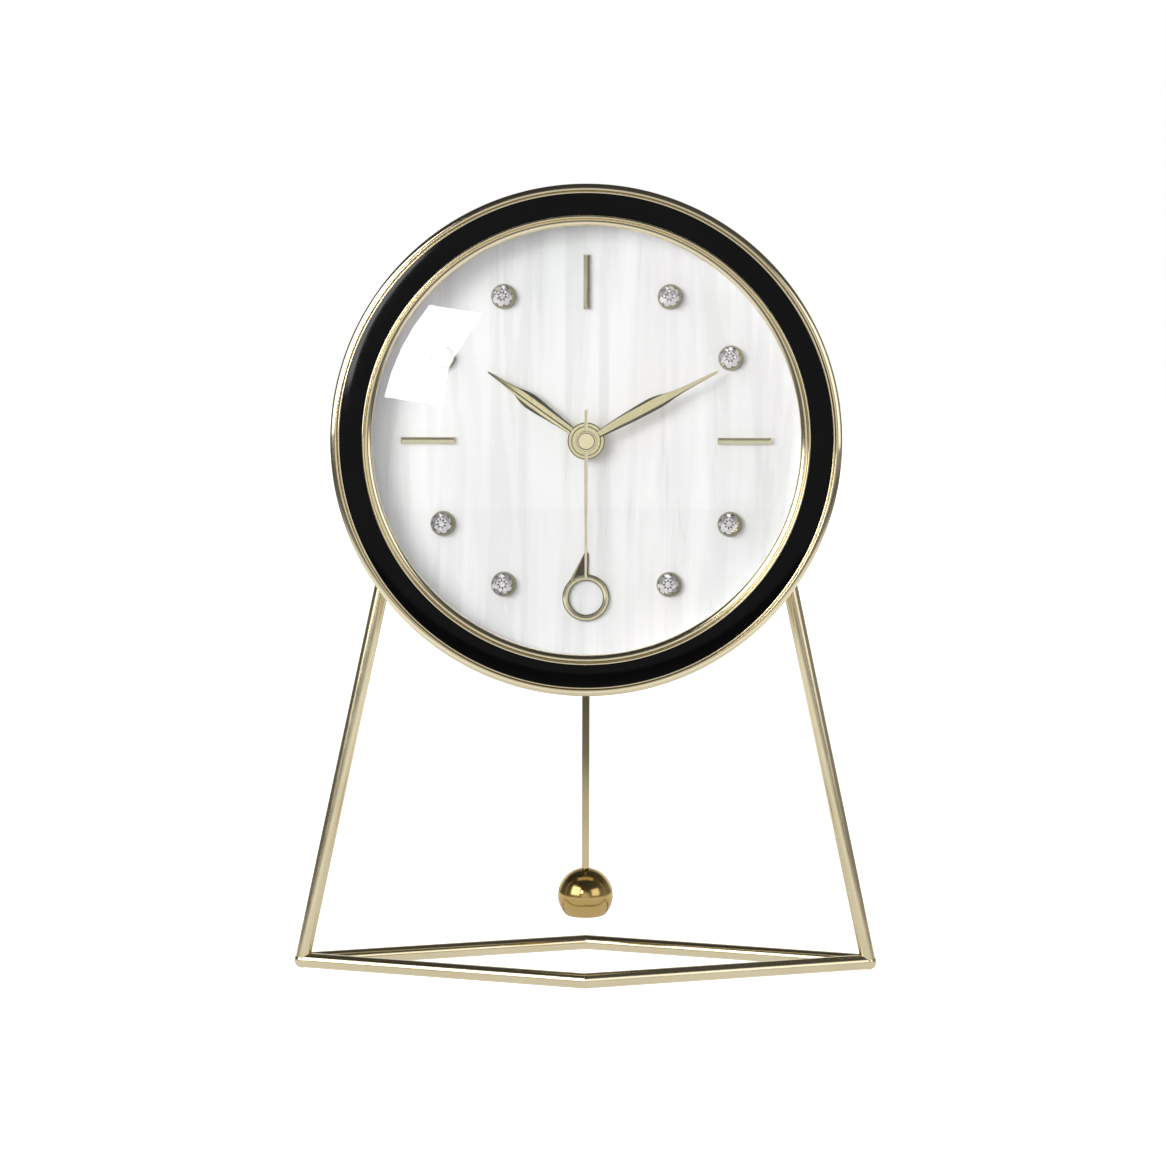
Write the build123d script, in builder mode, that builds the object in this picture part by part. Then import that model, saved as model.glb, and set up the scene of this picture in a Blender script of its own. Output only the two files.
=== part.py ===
from build123d import *

import os
from math import asin, atan2, cos, degrees, hypot, radians, sin, sqrt

os.makedirs("parts", exist_ok=True)

# A desk clock: a round head on a stand of rod, a quartz movement, and a pendulum that hangs behind the head.
# Millimetres. The front faces -Y, the floor is Z = 0, and the origin is the middle of the rod base.

# Driving sizes
total_height = 280.0
base_width = 210.0
base_half_depth = 36.3
dial_opening_radius = 75.0

# Clearances and the overrun that every cut shares
slip = 0.05
ease = 0.1
cut_over = 1.0

# Stand
rod_diameter = 5.4
corner_weld = 0.2
leg_top_drop = 3.5
leg_top_inset = 27.0
leg_top_chamfer = 0.5
plate_margin = 2.8
plate_end_margin = 6.0
plate_thickness = 1.6
plate_corner_radius = 4.0
plate_seat_depth = 0.35
plate_drop = 13.5
stand_screw_gap = 0.9
stand_screw_along = 7.0

# Screws, all one size
screw_shank_radius = 1.25
screw_shank_length = 6.0
screw_head_radius = 2.6
screw_head_height = 1.6
screw_recess_length = 3.2
screw_recess_width = 0.8
screw_recess_depth = 0.8
screw_boss_radius = 3.2
screw_end_wall = 0.6

# Head, from the rear cover forward
cover_thickness = 2.0
cover_edge_chamfer = 0.5
cover_post_radius = 3.0
cover_post_inset = 6.0
cover_post_length = 5.25
dial_plate_thickness = 1.3
pearl_thickness = 0.5
spacer_length = 6.4
spacer_wall = 1.8
lens_thickness = 1.8
lens_seat_width = 2.1
lens_rise = 4.0
rim_width = 3.5
rim_lip_depth = 2.4
rim_crown = 0.45
rim_flange_width = 2.1
rim_flange_thickness = 1.2
rim_step_width = 1.1
rim_step_depth = 0.4

# Bezel ring, black band and drum
band_width = 7.4
band_thickness = 2.1
band_crown = 0.35
bezel_width = 3.5
bezel_flange_thickness = 1.6
bezel_bead_width = 2.2
bezel_bead_crown = 0.35
bezel_proud = 0.5
bezel_groove_width = 0.4
bezel_groove_depth = 0.6
bezel_inner_bead_crown = 0.2
bezel_skirt_depth = 5.0
bezel_skirt_wall = 1.95
bezel_edge_chamfer = 0.5
drum_wall = 1.8
drum_rear_proud = 0.4
drum_edge_chamfer = 0.6
drum_screw_inset = 2.9
drum_screw_depth = 10.0
head_screw_count = 6

# Dial furniture
bar_length = 19.0
bar_width = 2.2
bar_height = 1.6
bar_chamfer = 1.0
bar_inset = 19.3
stud_inset = 16.6
stud_rim = 0.25
stud_flare = 0.4
stud_height = 2.0
stud_recess_depth = 1.2
crystal_radius = 3.5
crystal_crown_width = 1.2
crystal_crown_height = 1.3
crystal_girdle_height = 1.2
crystal_sides = 8
numeral_ring_radius = 7.8
numeral_ring_width = 1.6
numeral_ring_inset = 19.7
numeral_apex_rise = 16.5
numeral_stem_width = 1.5
numeral_height = 1.6
numeral_chamfer = 0.6

# Hands
hour_hand_length = 42.0
hour_hand_angle = 305.0
hour_boss_radius = 6.5
hour_hand_shares = [(0.13, 0.026), (0.30, 0.045), (0.57, 0.060), (0.71, 0.014), (1.00, 0.007)]
minute_hand_length = 52.3
minute_hand_angle = 62.0
minute_boss_radius = 5.2
minute_hand_shares = [(0.085, 0.020), (0.30, 0.031), (0.55, 0.038), (0.735, 0.011), (1.00, 0.006)]
hand_ridge_height = 0.7
hand_needle_share = 0.6
hand_shoulder_share = 0.55
hand_shoulder_height_share = 0.8
hand_boss_thickness = 0.9
hand_boss_chamfer = 0.35
hand_gap = 0.6
second_hand_length = 48.5
second_hand_tail = 11.0
second_hand_width = 1.3
second_hand_thickness = 0.4
second_hub_radius = 3.5
second_hub_height = 1.4
second_hub_rim = 0.6
second_hub_chamfer = 0.3
second_hub_groove_width = 0.25

# Hand shafts and their fixing
arbor_radius = 0.5
minute_tube_wall = 1.1
hour_tube_wall = 0.9
bushing_wall = 1.35
bushing_flange_width = 1.5
bushing_flange_thickness = 0.4
bushing_proud = 0.3
nut_wall = 1.5
nut_thickness = 2.0
washer_width = 2.5
washer_thickness = 0.4
rubber_washer_width = 5.0
rubber_washer_thickness = 0.8

# Movement case
case_wall = 1.2
case_corner_radius = 2.4
case_rear_chamfer = 0.6
case_edge_gap = 0.8
lower_case_half_width = 20.0
cover_window_gap = 0.6
pivot_depth = 0.8

# Battery bay, for one AA cell lying across the case
cell_radius = 7.25
cell_length = 49.5
cell_nub_length = 1.0
cell_nub_radius = 2.75
cell_edge = 0.6
bay_gap = 1.0
bay_wall = 1.0
cell_front_gap = 0.3
cell_rear_gap = 0.4
contact_room = 1.55
contact_thickness = 0.4
contact_width = 8.0
contact_height = 12.0
contact_dimple_radius = 2.0

# Gear train
addendum_share = 0.65
dedendum_share = 1.25
tip_half_share = 0.07
pinion_teeth = 8
fifth_wheel_teeth = 40
seconds_wheel_teeth = 48
third_wheel_teeth = 60
centre_wheel_teeth = 64
cannon_teeth = 12
minute_wheel_teeth = 36
minute_pinion_teeth = 10
hour_wheel_teeth = 40
fifth_distance = 9.8
rotor_distance = 8.75
motion_distance = 8.4
train_angle = -10.0
wheel_thickness = 0.6
pinion_thickness = 0.9
hour_wheel_thickness = 0.9
front_play = 0.3
layer_gap = 0.5
train_gap = 0.25
bay_train_gap = 0.9
cannon_tail_wall = 0.75
minute_post_radius = 0.7

# Rotor, stator and coil
rotor_radius = 2.3
rotor_length = 2.4
stator_gap = 0.5
stator_thickness = 1.0
stator_leg_width = 3.5
stator_bar_below = 4.5
stator_bar_above = 4.5
stator_bar_reach = 6.5
stator_lean = 6.1
stator_top = 16.0
core_drop = 2.0
core_height = 2.4
core_thickness = 1.0
bobbin_flange_radius = 3.6
bobbin_flange_thickness = 0.6
bobbin_gap = 0.6
bobbin_length = 9.6
bobbin_tube_radius = 1.8
coil_radius = 3.2
stator_post_radius = 1.2

# Circuit board
board_width = 16.0
board_bottom = 5.0
board_height = 19.0
board_thickness = 0.8
board_standoff = 2.8
board_post_radius = 1.6
board_post_inset = 3.0
chip_radius = 3.0
chip_height = 0.9
chip_taper = 30.0
crystal_can_radius = 1.0
crystal_can_length = 6.0
crystal_can_sink = 0.3
crystal_can_rise = 1.0

# Setting knob
knob_radius = 5.0
knob_height = 4.0
knob_gap = 0.3
knob_flute_count = 12
knob_flute_radius = 0.6
knob_stem_radius = 1.2

# Pendulum and its drive
pivot_below_bay = 8.4
pivot_pin_radius = 0.75
arm_width = 4.0
arm_thickness = 1.0
arm_hub_radius = 3.0
arm_hub_length = 4.0
arm_below_case = 4.4
magnet_drop = 14.5
magnet_radius = 4.0
magnet_length = 3.0
magnet_air_gap = 0.8
drive_coil_radius = 8.0
drive_core_radius = 2.5
drive_flange_thickness = 0.6
drive_case_gap = 1.9
hang_pin_radius = 0.9
hang_pin_length = 2.2
hook_thickness = 1.0
hook_width = 5.0
hook_height = 11.0
hook_slot_drop = 2.6
hook_grip = 5.0
pendulum_rod_radius = 1.35
pendulum_depth = 2.4
bob_radius = 9.95
bob_centre_height = 26.3
bob_flat_drop = 8.6
bob_socket_depth = 4.0
arm_slot_half_width = 7.0
arm_slot_gap = 1.0

# Radii of the head, from the dial opening out
lens_radius = dial_opening_radius + lens_seat_width
dial_radius = lens_radius - ease
rim_outer_radius = dial_opening_radius + rim_width
rim_flange_radius = rim_outer_radius + rim_flange_width
flange_inner_radius = rim_outer_radius + ease
band_outer_radius = flange_inner_radius + band_width
head_radius = band_outer_radius + bezel_width
drum_radius = head_radius - bezel_skirt_wall - slip
drum_inner_radius = drum_radius - drum_wall
drum_screw_circle = drum_inner_radius - drum_screw_inset
cover_radius = drum_inner_radius - ease
cover_post_circle = dial_radius - cover_post_inset

# Radii of the hand shafts, from the second hand's arbor out
tube_bore_radius = arbor_radius + slip
cannon_tail_radius = tube_bore_radius + cannon_tail_wall
minute_tube_radius = tube_bore_radius + minute_tube_wall
hour_bore_radius = minute_tube_radius + slip
hour_tube_radius = hour_bore_radius + hour_tube_wall
bushing_bore_radius = hour_tube_radius + slip
bushing_radius = bushing_bore_radius + bushing_wall
bushing_flange_radius = bushing_radius + bushing_flange_width
nut_flat_radius = bushing_radius + nut_wall
washer_radius = bushing_radius + washer_width
rubber_washer_radius = bushing_radius + rubber_washer_width

# Places in depth, Y, from the stand forward
rod_radius = rod_diameter / 2
head_z = total_height - head_radius
case_depth = 2 * cell_radius + cell_front_gap + cell_rear_gap + case_wall
plate_rear_y = plate_seat_depth - rod_radius
cover_rear_y = plate_rear_y - plate_thickness
cover_front_y = cover_rear_y - cover_thickness
dial_plate_rear_y = cover_front_y - cover_post_length
dial_plate_front_y = dial_plate_rear_y - dial_plate_thickness
dial_y = dial_plate_front_y - pearl_thickness
lens_rear_y = dial_y - spacer_length
lens_front_y = lens_rear_y - lens_thickness
rim_front_y = lens_front_y - rim_lip_depth
band_rear_y = lens_front_y + ease
bezel_rear_y = band_rear_y + bezel_flange_thickness
band_front_y = band_rear_y - band_thickness
bezel_front_y = band_front_y - bezel_proud
case_front_y = dial_plate_rear_y + rubber_washer_thickness
case_inner_y = case_front_y + case_wall
lid_inner_y = case_front_y + case_depth - case_wall
case_rear_y = case_front_y + case_depth
washer_front_y = dial_y - washer_thickness
nut_front_y = washer_front_y - nut_thickness
bushing_front_y = nut_front_y - bushing_proud
hour_hand_rear_y = bushing_front_y - hand_gap
hour_hand_front_y = hour_hand_rear_y - hand_boss_thickness
minute_hand_rear_y = hour_hand_front_y - hand_gap
minute_hand_front_y = minute_hand_rear_y - hand_boss_thickness
second_hand_rear_y = minute_hand_front_y - hand_gap
second_hub_front_y = second_hand_rear_y - second_hub_height

# Layers of the train, each from its front face back
hour_layer_y = case_inner_y + front_play
motion_layer_y = hour_layer_y + hour_wheel_thickness + front_play
centre_layer_y = motion_layer_y + pinion_thickness + layer_gap
third_layer_y = centre_layer_y + pinion_thickness + layer_gap
seconds_layer_y = third_layer_y + pinion_thickness + layer_gap
fifth_layer_y = seconds_layer_y + pinion_thickness + layer_gap
rotor_layer_y = fifth_layer_y + pinion_thickness + 2 * layer_gap



def pitch_pair(distance, driver_teeth, driven_teeth):
    """Pitch radii of two gears that mesh at a centre distance."""
    return (
        distance * driver_teeth / (driver_teeth + driven_teeth),
        distance * driven_teeth / (driver_teeth + driven_teeth),
    )


def tip_radius(pitch_radius, teeth):
    """Outside radius of a gear."""
    return pitch_radius * (1 + 2 * addendum_share / teeth)


# Pitch radii of every mesh. The third arbor stands just clear of the seconds wheel
rotor_pinion_pitch, fifth_wheel_pitch = pitch_pair(rotor_distance, pinion_teeth, fifth_wheel_teeth)
fifth_pinion_pitch, seconds_wheel_pitch = pitch_pair(fifth_distance, pinion_teeth, seconds_wheel_teeth)
third_distance = tip_radius(seconds_wheel_pitch, seconds_wheel_teeth) + arbor_radius + train_gap
fourth_pinion_pitch, third_wheel_pitch = pitch_pair(third_distance, pinion_teeth, third_wheel_teeth)
third_pinion_pitch, centre_wheel_pitch = pitch_pair(third_distance, pinion_teeth, centre_wheel_teeth)
cannon_pitch, minute_wheel_pitch = pitch_pair(motion_distance, cannon_teeth, minute_wheel_teeth)
minute_pinion_pitch, hour_wheel_pitch = pitch_pair(motion_distance, minute_pinion_teeth, hour_wheel_teeth)


def polar(radius, angle):
    """Point at an angle in degrees, counter-clockwise from +X."""
    return (radius * cos(radians(angle)), radius * sin(radians(angle)))


def on_dial(radius, clock_angle):
    """Point at an angle in degrees, clockwise from twelve o'clock."""
    return polar(radius, 90 - clock_angle)


# Places of the arbors in the dial plane, right and up from the dial centre
third_place = (0, third_distance)
fifth_place = polar(fifth_distance, train_angle)
rotor_place = polar(fifth_distance + rotor_distance, train_angle)
minute_place = (-motion_distance, 0)
knob_place = (-2 * motion_distance, 0)

# Battery bay, circuit board and lower case, down or up from the dial centre
train_drop = tip_radius(fifth_wheel_pitch, fifth_wheel_teeth) - fifth_place[1]
bay_top_drop = train_drop + bay_train_gap + bay_wall
bay_height = 2 * (cell_radius + bay_gap)
cell_drop = bay_top_drop + bay_height / 2
case_bottom_drop = bay_top_drop + bay_height + bay_wall
pivot_drop = case_bottom_drop + pivot_below_bay
lower_case_drop = pivot_drop + magnet_drop + drive_coil_radius + drive_case_gap + case_wall
lower_case_height = lower_case_drop - case_bottom_drop
arm_reach = lower_case_drop + arm_below_case - pivot_drop
board_top = board_bottom + board_height
case_top = board_top + case_edge_gap + case_wall
cell_y = case_inner_y + cell_front_gap + cell_radius
cell_reach = (cell_length + cell_nub_length) / 2
case_inner_half = cell_reach + contact_room
case_half_width = case_inner_half + case_wall
board_left = case_edge_gap - case_inner_half

head_axis = Axis((0, 0, head_z), (0, 1, 0))
section_plane = Plane(origin=(0, 0, head_z), x_dir=(1, 0, 0), z_dir=(0, 0, 1))


def facing(depth, across=0, up=0):
    """Upright plane seen from the front, counted from the dial centre. Extrusions from it go forward."""
    return Plane(origin=(across, depth, head_z + up), x_dir=(1, 0, 0), z_dir=(0, -1, 0))


def outline(plane, *points):
    """Flat face inside a closed run of straight lines."""
    with BuildSketch(plane) as face:
        with BuildLine():
            Polyline(*points, close=True)
        make_face()
    return face.sketch


def ring(plane, outer, inner):
    """Flat ring face."""
    with BuildSketch(plane) as face:
        Circle(outer)
        Circle(inner, mode=Mode.SUBTRACT)
    return face.sketch


def disc(plane, radius):
    """Flat round face."""
    with BuildSketch(plane) as face:
        Circle(radius)
    return face.sketch


def screw_recesses(plane, places):
    """Cross-shaped recess in the head of each screw."""
    with BuildSketch(plane) as face:
        with Locations(*places):
            Rectangle(screw_recess_length, screw_recess_width)
            Rectangle(screw_recess_width, screw_recess_length)
    return face.sketch


def gear(depth, place, teeth, pitch_radius, first_tooth, bore=0):
    """Face of a wheel or pinion, its first tooth centred on an angle in degrees."""
    module = 2 * pitch_radius / teeth
    tip = tip_radius(pitch_radius, teeth)
    root = pitch_radius - dedendum_share * module
    step = 360 / teeth
    points = []
    for count in range(teeth):
        middle = first_tooth + count * step
        points.append(polar(tip, middle - tip_half_share * step))
        points.append(polar(tip, middle + tip_half_share * step))
        points.append(polar(root, middle + step / 2))
    with BuildSketch(facing(depth, *place)) as face:
        with BuildLine():
            Polyline(*points, close=True)
        make_face()
        if bore:
            Circle(bore, mode=Mode.SUBTRACT)
    return face.sketch


def half_step(teeth):
    """Angle in degrees from a tooth to the gap beside it."""
    return 180 / teeth


def hand_blade(length, clock_angle, rear_y, shares):
    """Leaf with four facets, a ridge along its middle and a shoulder each side of it, tapering to a needle."""
    turn = radians(clock_angle)
    along = (sin(turn), 0, cos(turn))
    across = (cos(turn), 0, -sin(turn))
    with BuildPart() as blade:
        for reach_share, half_width_share in shares:
            reach = reach_share * length
            half_width = half_width_share * length
            height = min(hand_ridge_height, half_width * 2 * hand_needle_share)
            shoulder = half_width * hand_shoulder_share
            shoulder_height = height * hand_shoulder_height_share
            origin = (reach * along[0], rear_y, head_z + reach * along[2])
            left_side = [(-half_width, 0), (-shoulder, -shoulder_height), (0, -height)]
            right_side = [(shoulder, -shoulder_height), (half_width, 0)]
            with BuildSketch(Plane(origin=origin, x_dir=across, z_dir=along)):
                with BuildLine():
                    Polyline(*left_side, *right_side, close=True)
                make_face()
        loft(ruled=True)
    return blade.part


def hand_boss(rear_y, outer, inner):
    """Round boss of a hand, bevelled round its front, with a hole for its tube."""
    with BuildPart() as boss:
        extrude(ring(facing(rear_y), outer, inner), amount=hand_boss_thickness)
        chamfer(boss.edges().sort_by(Axis.Y)[:2].sort_by(SortBy.LENGTH)[-1], length=hand_boss_chamfer)
    return boss.part


# Legs: a rod that rises from a ball at the base corner and leans in behind the head
corner_ball_radius = rod_radius + corner_weld
corner_x = base_width / 2 - corner_ball_radius
leg_rise = head_z - leg_top_drop - rod_radius
leg_run = corner_x - (head_radius - leg_top_inset)
leg_length = hypot(leg_rise, leg_run)
leg_lean = atan2(leg_run, leg_rise)
leg_along = (sin(leg_lean), 0, cos(leg_lean))
left_corner = (-corner_x, 0, rod_radius)

with BuildPart() as leg_left:
    with BuildSketch(Plane(origin=left_corner, z_dir=leg_along)):
        Circle(rod_radius)
    extrude(amount=leg_length)
    chamfer(leg_left.edges().sort_by(Axis.Z)[-1], length=leg_top_chamfer)
    with Locations(left_corner):
        Sphere(corner_ball_radius)
    split(bisect_by=Plane.XY, keep=Keep.TOP)
leg_left.part.label = "leg_left"
export_step(leg_left.part, "parts/leg_left.step")

with BuildPart() as leg_right:
    mirror(leg_left.part, about=Plane.YZ)
leg_right.part.label = "leg_right"
export_step(leg_right.part, "parts/leg_right.step")

# Base rods: four straight rods mitred to each other, their ends coped round the corner ball and the leg
rod_along = (corner_x, -base_half_depth, 0)
rod_run = hypot(corner_x, base_half_depth)

with BuildPart() as base_rod_front_left:
    with BuildSketch(Plane(origin=left_corner, z_dir=rod_along)):
        Circle(rod_radius)
    extrude(amount=rod_run + rod_radius)
    split(bisect_by=Plane.YZ, keep=Keep.BOTTOM)
    split(bisect_by=Plane.XZ, keep=Keep.TOP)
    add(leg_left.part, mode=Mode.SUBTRACT)
base_rod_front_left.part.label = "base_rod_front_left"
export_step(base_rod_front_left.part, "parts/base_rod_front_left.step")

with BuildPart() as base_rod_front_right:
    mirror(base_rod_front_left.part, about=Plane.YZ)
base_rod_front_right.part.label = "base_rod_front_right"
export_step(base_rod_front_right.part, "parts/base_rod_front_right.step")

with BuildPart() as base_rod_rear_left:
    mirror(base_rod_front_left.part, about=Plane.XZ)
base_rod_rear_left.part.label = "base_rod_rear_left"
export_step(base_rod_rear_left.part, "parts/base_rod_rear_left.step")

with BuildPart() as base_rod_rear_right:
    mirror(base_rod_front_right.part, about=Plane.XZ)
base_rod_rear_right.part.label = "base_rod_rear_right"
export_step(base_rod_rear_right.part, "parts/base_rod_rear_right.step")

# Mounting plates: the leg is welded in a shallow groove, and two screws pass beside it into the rear cover
plate_reach = leg_length - plate_drop
plate_x = plate_reach * leg_along[0] - corner_x
plate_z = plate_reach * leg_along[2] + rod_radius
plate_across = (cos(leg_lean), 0, -sin(leg_lean))
stand_screw_across = rod_radius + screw_head_radius + stand_screw_gap
plate_width = 2 * (stand_screw_across + plate_margin)
plate_length = 2 * (stand_screw_along + plate_end_margin)
stand_screw_places = [(-stand_screw_across, stand_screw_along), (stand_screw_across, -stand_screw_along)]


def plate_plane(depth):
    """Plane of the left mounting plate, in line with the leg."""
    return Plane(origin=(plate_x, depth, plate_z), x_dir=plate_across, z_dir=(0, -1, 0))


def left_screw_circles(depth, radius):
    """One circle round each screw of the left mounting plate."""
    with BuildSketch(plate_plane(depth)) as face:
        with Locations(*stand_screw_places):
            Circle(radius)
    return face.sketch


with BuildPart() as mounting_plate_left:
    with BuildSketch(plate_plane(plate_rear_y)):
        RectangleRounded(plate_width, plate_length, plate_corner_radius)
    extrude(amount=plate_thickness)
    extrude(left_screw_circles(plate_rear_y, screw_shank_radius), amount=plate_thickness, mode=Mode.SUBTRACT)
    add(leg_left.part, mode=Mode.SUBTRACT)
mounting_plate_left.part.label = "mounting_plate_left"
export_step(mounting_plate_left.part, "parts/mounting_plate_left.step")

with BuildPart() as mounting_plate_right:
    mirror(mounting_plate_left.part, about=Plane.YZ)
mounting_plate_right.part.label = "mounting_plate_right"
export_step(mounting_plate_right.part, "parts/mounting_plate_right.step")

with BuildPart() as stand_screws:
    extrude(left_screw_circles(plate_rear_y, screw_shank_radius), amount=screw_shank_length)
    extrude(left_screw_circles(plate_rear_y, screw_head_radius), amount=-screw_head_height)
    face = screw_recesses(plate_plane(plate_rear_y + screw_head_height), stand_screw_places)
    extrude(face, amount=screw_recess_depth, mode=Mode.SUBTRACT)
    mirror(about=Plane.YZ)
stand_screws.part.label = "stand_screws"
export_step(stand_screws.part, "parts/stand_screws.step")

def case_outline(plane, inset=0):
    """Rounded outline of the movement case: a wide upper block over a narrower one, pulled in by an inset."""
    with BuildSketch(plane) as face:
        with Locations((0, (case_top - case_bottom_drop) / 2)):
            Rectangle(2 * (case_half_width - inset), case_top + case_bottom_drop - 2 * inset)
        with Locations((0, -(case_bottom_drop + lower_case_drop) / 2)):
            Rectangle(2 * (lower_case_half_width - inset), lower_case_height - 2 * inset)
        fillet(face.vertices(), radius=case_corner_radius - inset)
    return face.sketch


# Rear cover: a disc with a window for the movement, posts that press the dial forward, and screw bosses
cover_screw_angles = [360 / head_screw_count * count for count in range(head_screw_count)]


def circles_at(depth, circle, angles, radius):
    """Circles spread round the head."""
    with BuildSketch(facing(depth)) as face:
        with Locations(*[polar(circle, angle) for angle in angles]):
            Circle(radius)
    return face.sketch


boss_length = screw_shank_length - plate_thickness - cover_thickness + screw_end_wall
with BuildPart() as rear_cover:
    extrude(disc(facing(cover_rear_y), cover_radius), amount=cover_thickness)
    chamfer(rear_cover.edges().sort_by(Axis.Y)[-1], length=cover_edge_chamfer)
    face = circles_at(cover_front_y, cover_post_circle, cover_screw_angles, cover_post_radius)
    extrude(face, amount=cover_post_length)
    extrude(left_screw_circles(cover_front_y, screw_boss_radius), amount=boss_length)
    face = left_screw_circles(cover_rear_y, screw_shank_radius)
    extrude(face, amount=screw_shank_length, mode=Mode.SUBTRACT)
    split(bisect_by=Plane.YZ, keep=Keep.BOTTOM)
    mirror(about=Plane.YZ)
    extrude(
        circles_at(cover_rear_y, drum_screw_circle, cover_screw_angles, screw_shank_radius),
        amount=cover_thickness,
        mode=Mode.SUBTRACT,
    )
    extrude(case_outline(facing(cover_rear_y), -cover_window_gap), amount=cover_thickness, mode=Mode.SUBTRACT)
rear_cover.part.label = "rear_cover"
export_step(rear_cover.part, "parts/rear_cover.step")

with BuildPart() as cover_screws:
    face = circles_at(cover_rear_y, drum_screw_circle, cover_screw_angles, screw_shank_radius)
    extrude(face, amount=screw_shank_length)
    face = circles_at(cover_rear_y, drum_screw_circle, cover_screw_angles, screw_head_radius)
    extrude(face, amount=-screw_head_height)
    recess_places = [polar(drum_screw_circle, angle) for angle in cover_screw_angles]
    face = screw_recesses(facing(cover_rear_y + screw_head_height), recess_places)
    extrude(face, amount=screw_recess_depth, mode=Mode.SUBTRACT)
cover_screws.part.label = "cover_screws"
export_step(cover_screws.part, "parts/cover_screws.step")

# Drum: the round side wall of the head, with a boss inside it for each cover screw
drum_rear_y = cover_rear_y + drum_rear_proud
rim_flange_rear_y = bezel_rear_y + rim_flange_thickness
drum_profile = [
    (drum_inner_radius, bezel_rear_y),
    (drum_radius, bezel_rear_y),
    (drum_radius, drum_rear_y - drum_edge_chamfer),
    (drum_radius - drum_edge_chamfer, drum_rear_y),
    (drum_inner_radius, drum_rear_y),
]
with BuildPart() as housing_drum:
    extrude(
        circles_at(cover_front_y, drum_screw_circle, cover_screw_angles, screw_boss_radius),
        amount=cover_front_y - rim_flange_rear_y,
    )
    revolve(outline(section_plane, *drum_profile), axis=head_axis)
    extrude(
        circles_at(cover_front_y, drum_screw_circle, cover_screw_angles, screw_shank_radius),
        amount=drum_screw_depth,
        mode=Mode.SUBTRACT,
    )
housing_drum.part.label = "housing_drum"
export_step(housing_drum.part, "parts/housing_drum.step")

# Bezel ring: two bright beads with a groove between them, a flange for the band, and a skirt over the drum
bead_inner_radius = head_radius - bezel_bead_width
groove_inner_radius = bead_inner_radius - bezel_groove_width
skirt_inner_radius = drum_radius + slip
skirt_rear_y = bezel_rear_y + bezel_skirt_depth
with BuildPart() as bezel_ring:
    with BuildSketch(section_plane):
        with BuildLine():
            Polyline(
                (band_outer_radius, bezel_front_y + bezel_edge_chamfer),
                (band_outer_radius, band_rear_y),
                (flange_inner_radius, band_rear_y),
                (flange_inner_radius, bezel_rear_y),
                (skirt_inner_radius, bezel_rear_y),
                (skirt_inner_radius, skirt_rear_y),
                (head_radius, skirt_rear_y),
                (head_radius, bezel_front_y + bezel_edge_chamfer),
            )
            SagittaArc(
                (head_radius, bezel_front_y + bezel_edge_chamfer),
                (bead_inner_radius, bezel_front_y + bezel_edge_chamfer),
                bezel_bead_crown,
            )
            Polyline(
                (bead_inner_radius, bezel_front_y + bezel_edge_chamfer),
                (bead_inner_radius, bezel_front_y + bezel_edge_chamfer + bezel_groove_depth),
                (groove_inner_radius, bezel_front_y + bezel_edge_chamfer + bezel_groove_depth),
                (groove_inner_radius, bezel_front_y + bezel_edge_chamfer),
            )
            SagittaArc(
                (groove_inner_radius, bezel_front_y + bezel_edge_chamfer),
                (band_outer_radius, bezel_front_y + bezel_edge_chamfer),
                bezel_inner_bead_crown,
            )
        make_face()
    revolve(axis=head_axis)
bezel_ring.part.label = "bezel_ring"
export_step(bezel_ring.part, "parts/bezel_ring.step")

# Black band between the bezel and the inner rim, crowned a little
band_inner_edge = (flange_inner_radius, band_front_y)
band_outer_edge = (band_outer_radius - slip, band_front_y)
with BuildPart() as band_ring:
    with BuildSketch(section_plane):
        with BuildLine():
            Polyline(
                band_inner_edge,
                (flange_inner_radius, band_rear_y),
                (band_outer_radius - slip, band_rear_y),
                band_outer_edge,
            )
            SagittaArc(band_outer_edge, band_inner_edge, band_crown)
        make_face()
    revolve(axis=head_axis)
band_ring.part.label = "band_ring"
export_step(band_ring.part, "parts/band_ring.step")

# Inner rim: a stepped gold lip in front of the glass, with a flange held behind the bezel
rim_bore_radius = lens_radius + ease
rim_step_radius = rim_outer_radius - rim_step_width
with BuildPart() as inner_rim:
    with BuildSketch(section_plane):
        with BuildLine():
            Polyline(
                (dial_opening_radius, rim_front_y + rim_step_depth),
                (dial_opening_radius, lens_front_y),
                (rim_bore_radius, lens_front_y),
                (rim_bore_radius, rim_flange_rear_y),
                (rim_flange_radius, rim_flange_rear_y),
                (rim_flange_radius, bezel_rear_y),
                (rim_outer_radius, bezel_rear_y),
                (rim_outer_radius, rim_front_y),
                (rim_step_radius, rim_front_y),
                (rim_step_radius, rim_front_y + rim_step_depth),
            )
            SagittaArc(
                (rim_step_radius, rim_front_y + rim_step_depth),
                (dial_opening_radius, rim_front_y + rim_step_depth),
                rim_crown,
            )
        make_face()
    revolve(axis=head_axis)
inner_rim.part.label = "inner_rim"
export_step(inner_rim.part, "parts/inner_rim.step")

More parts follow.
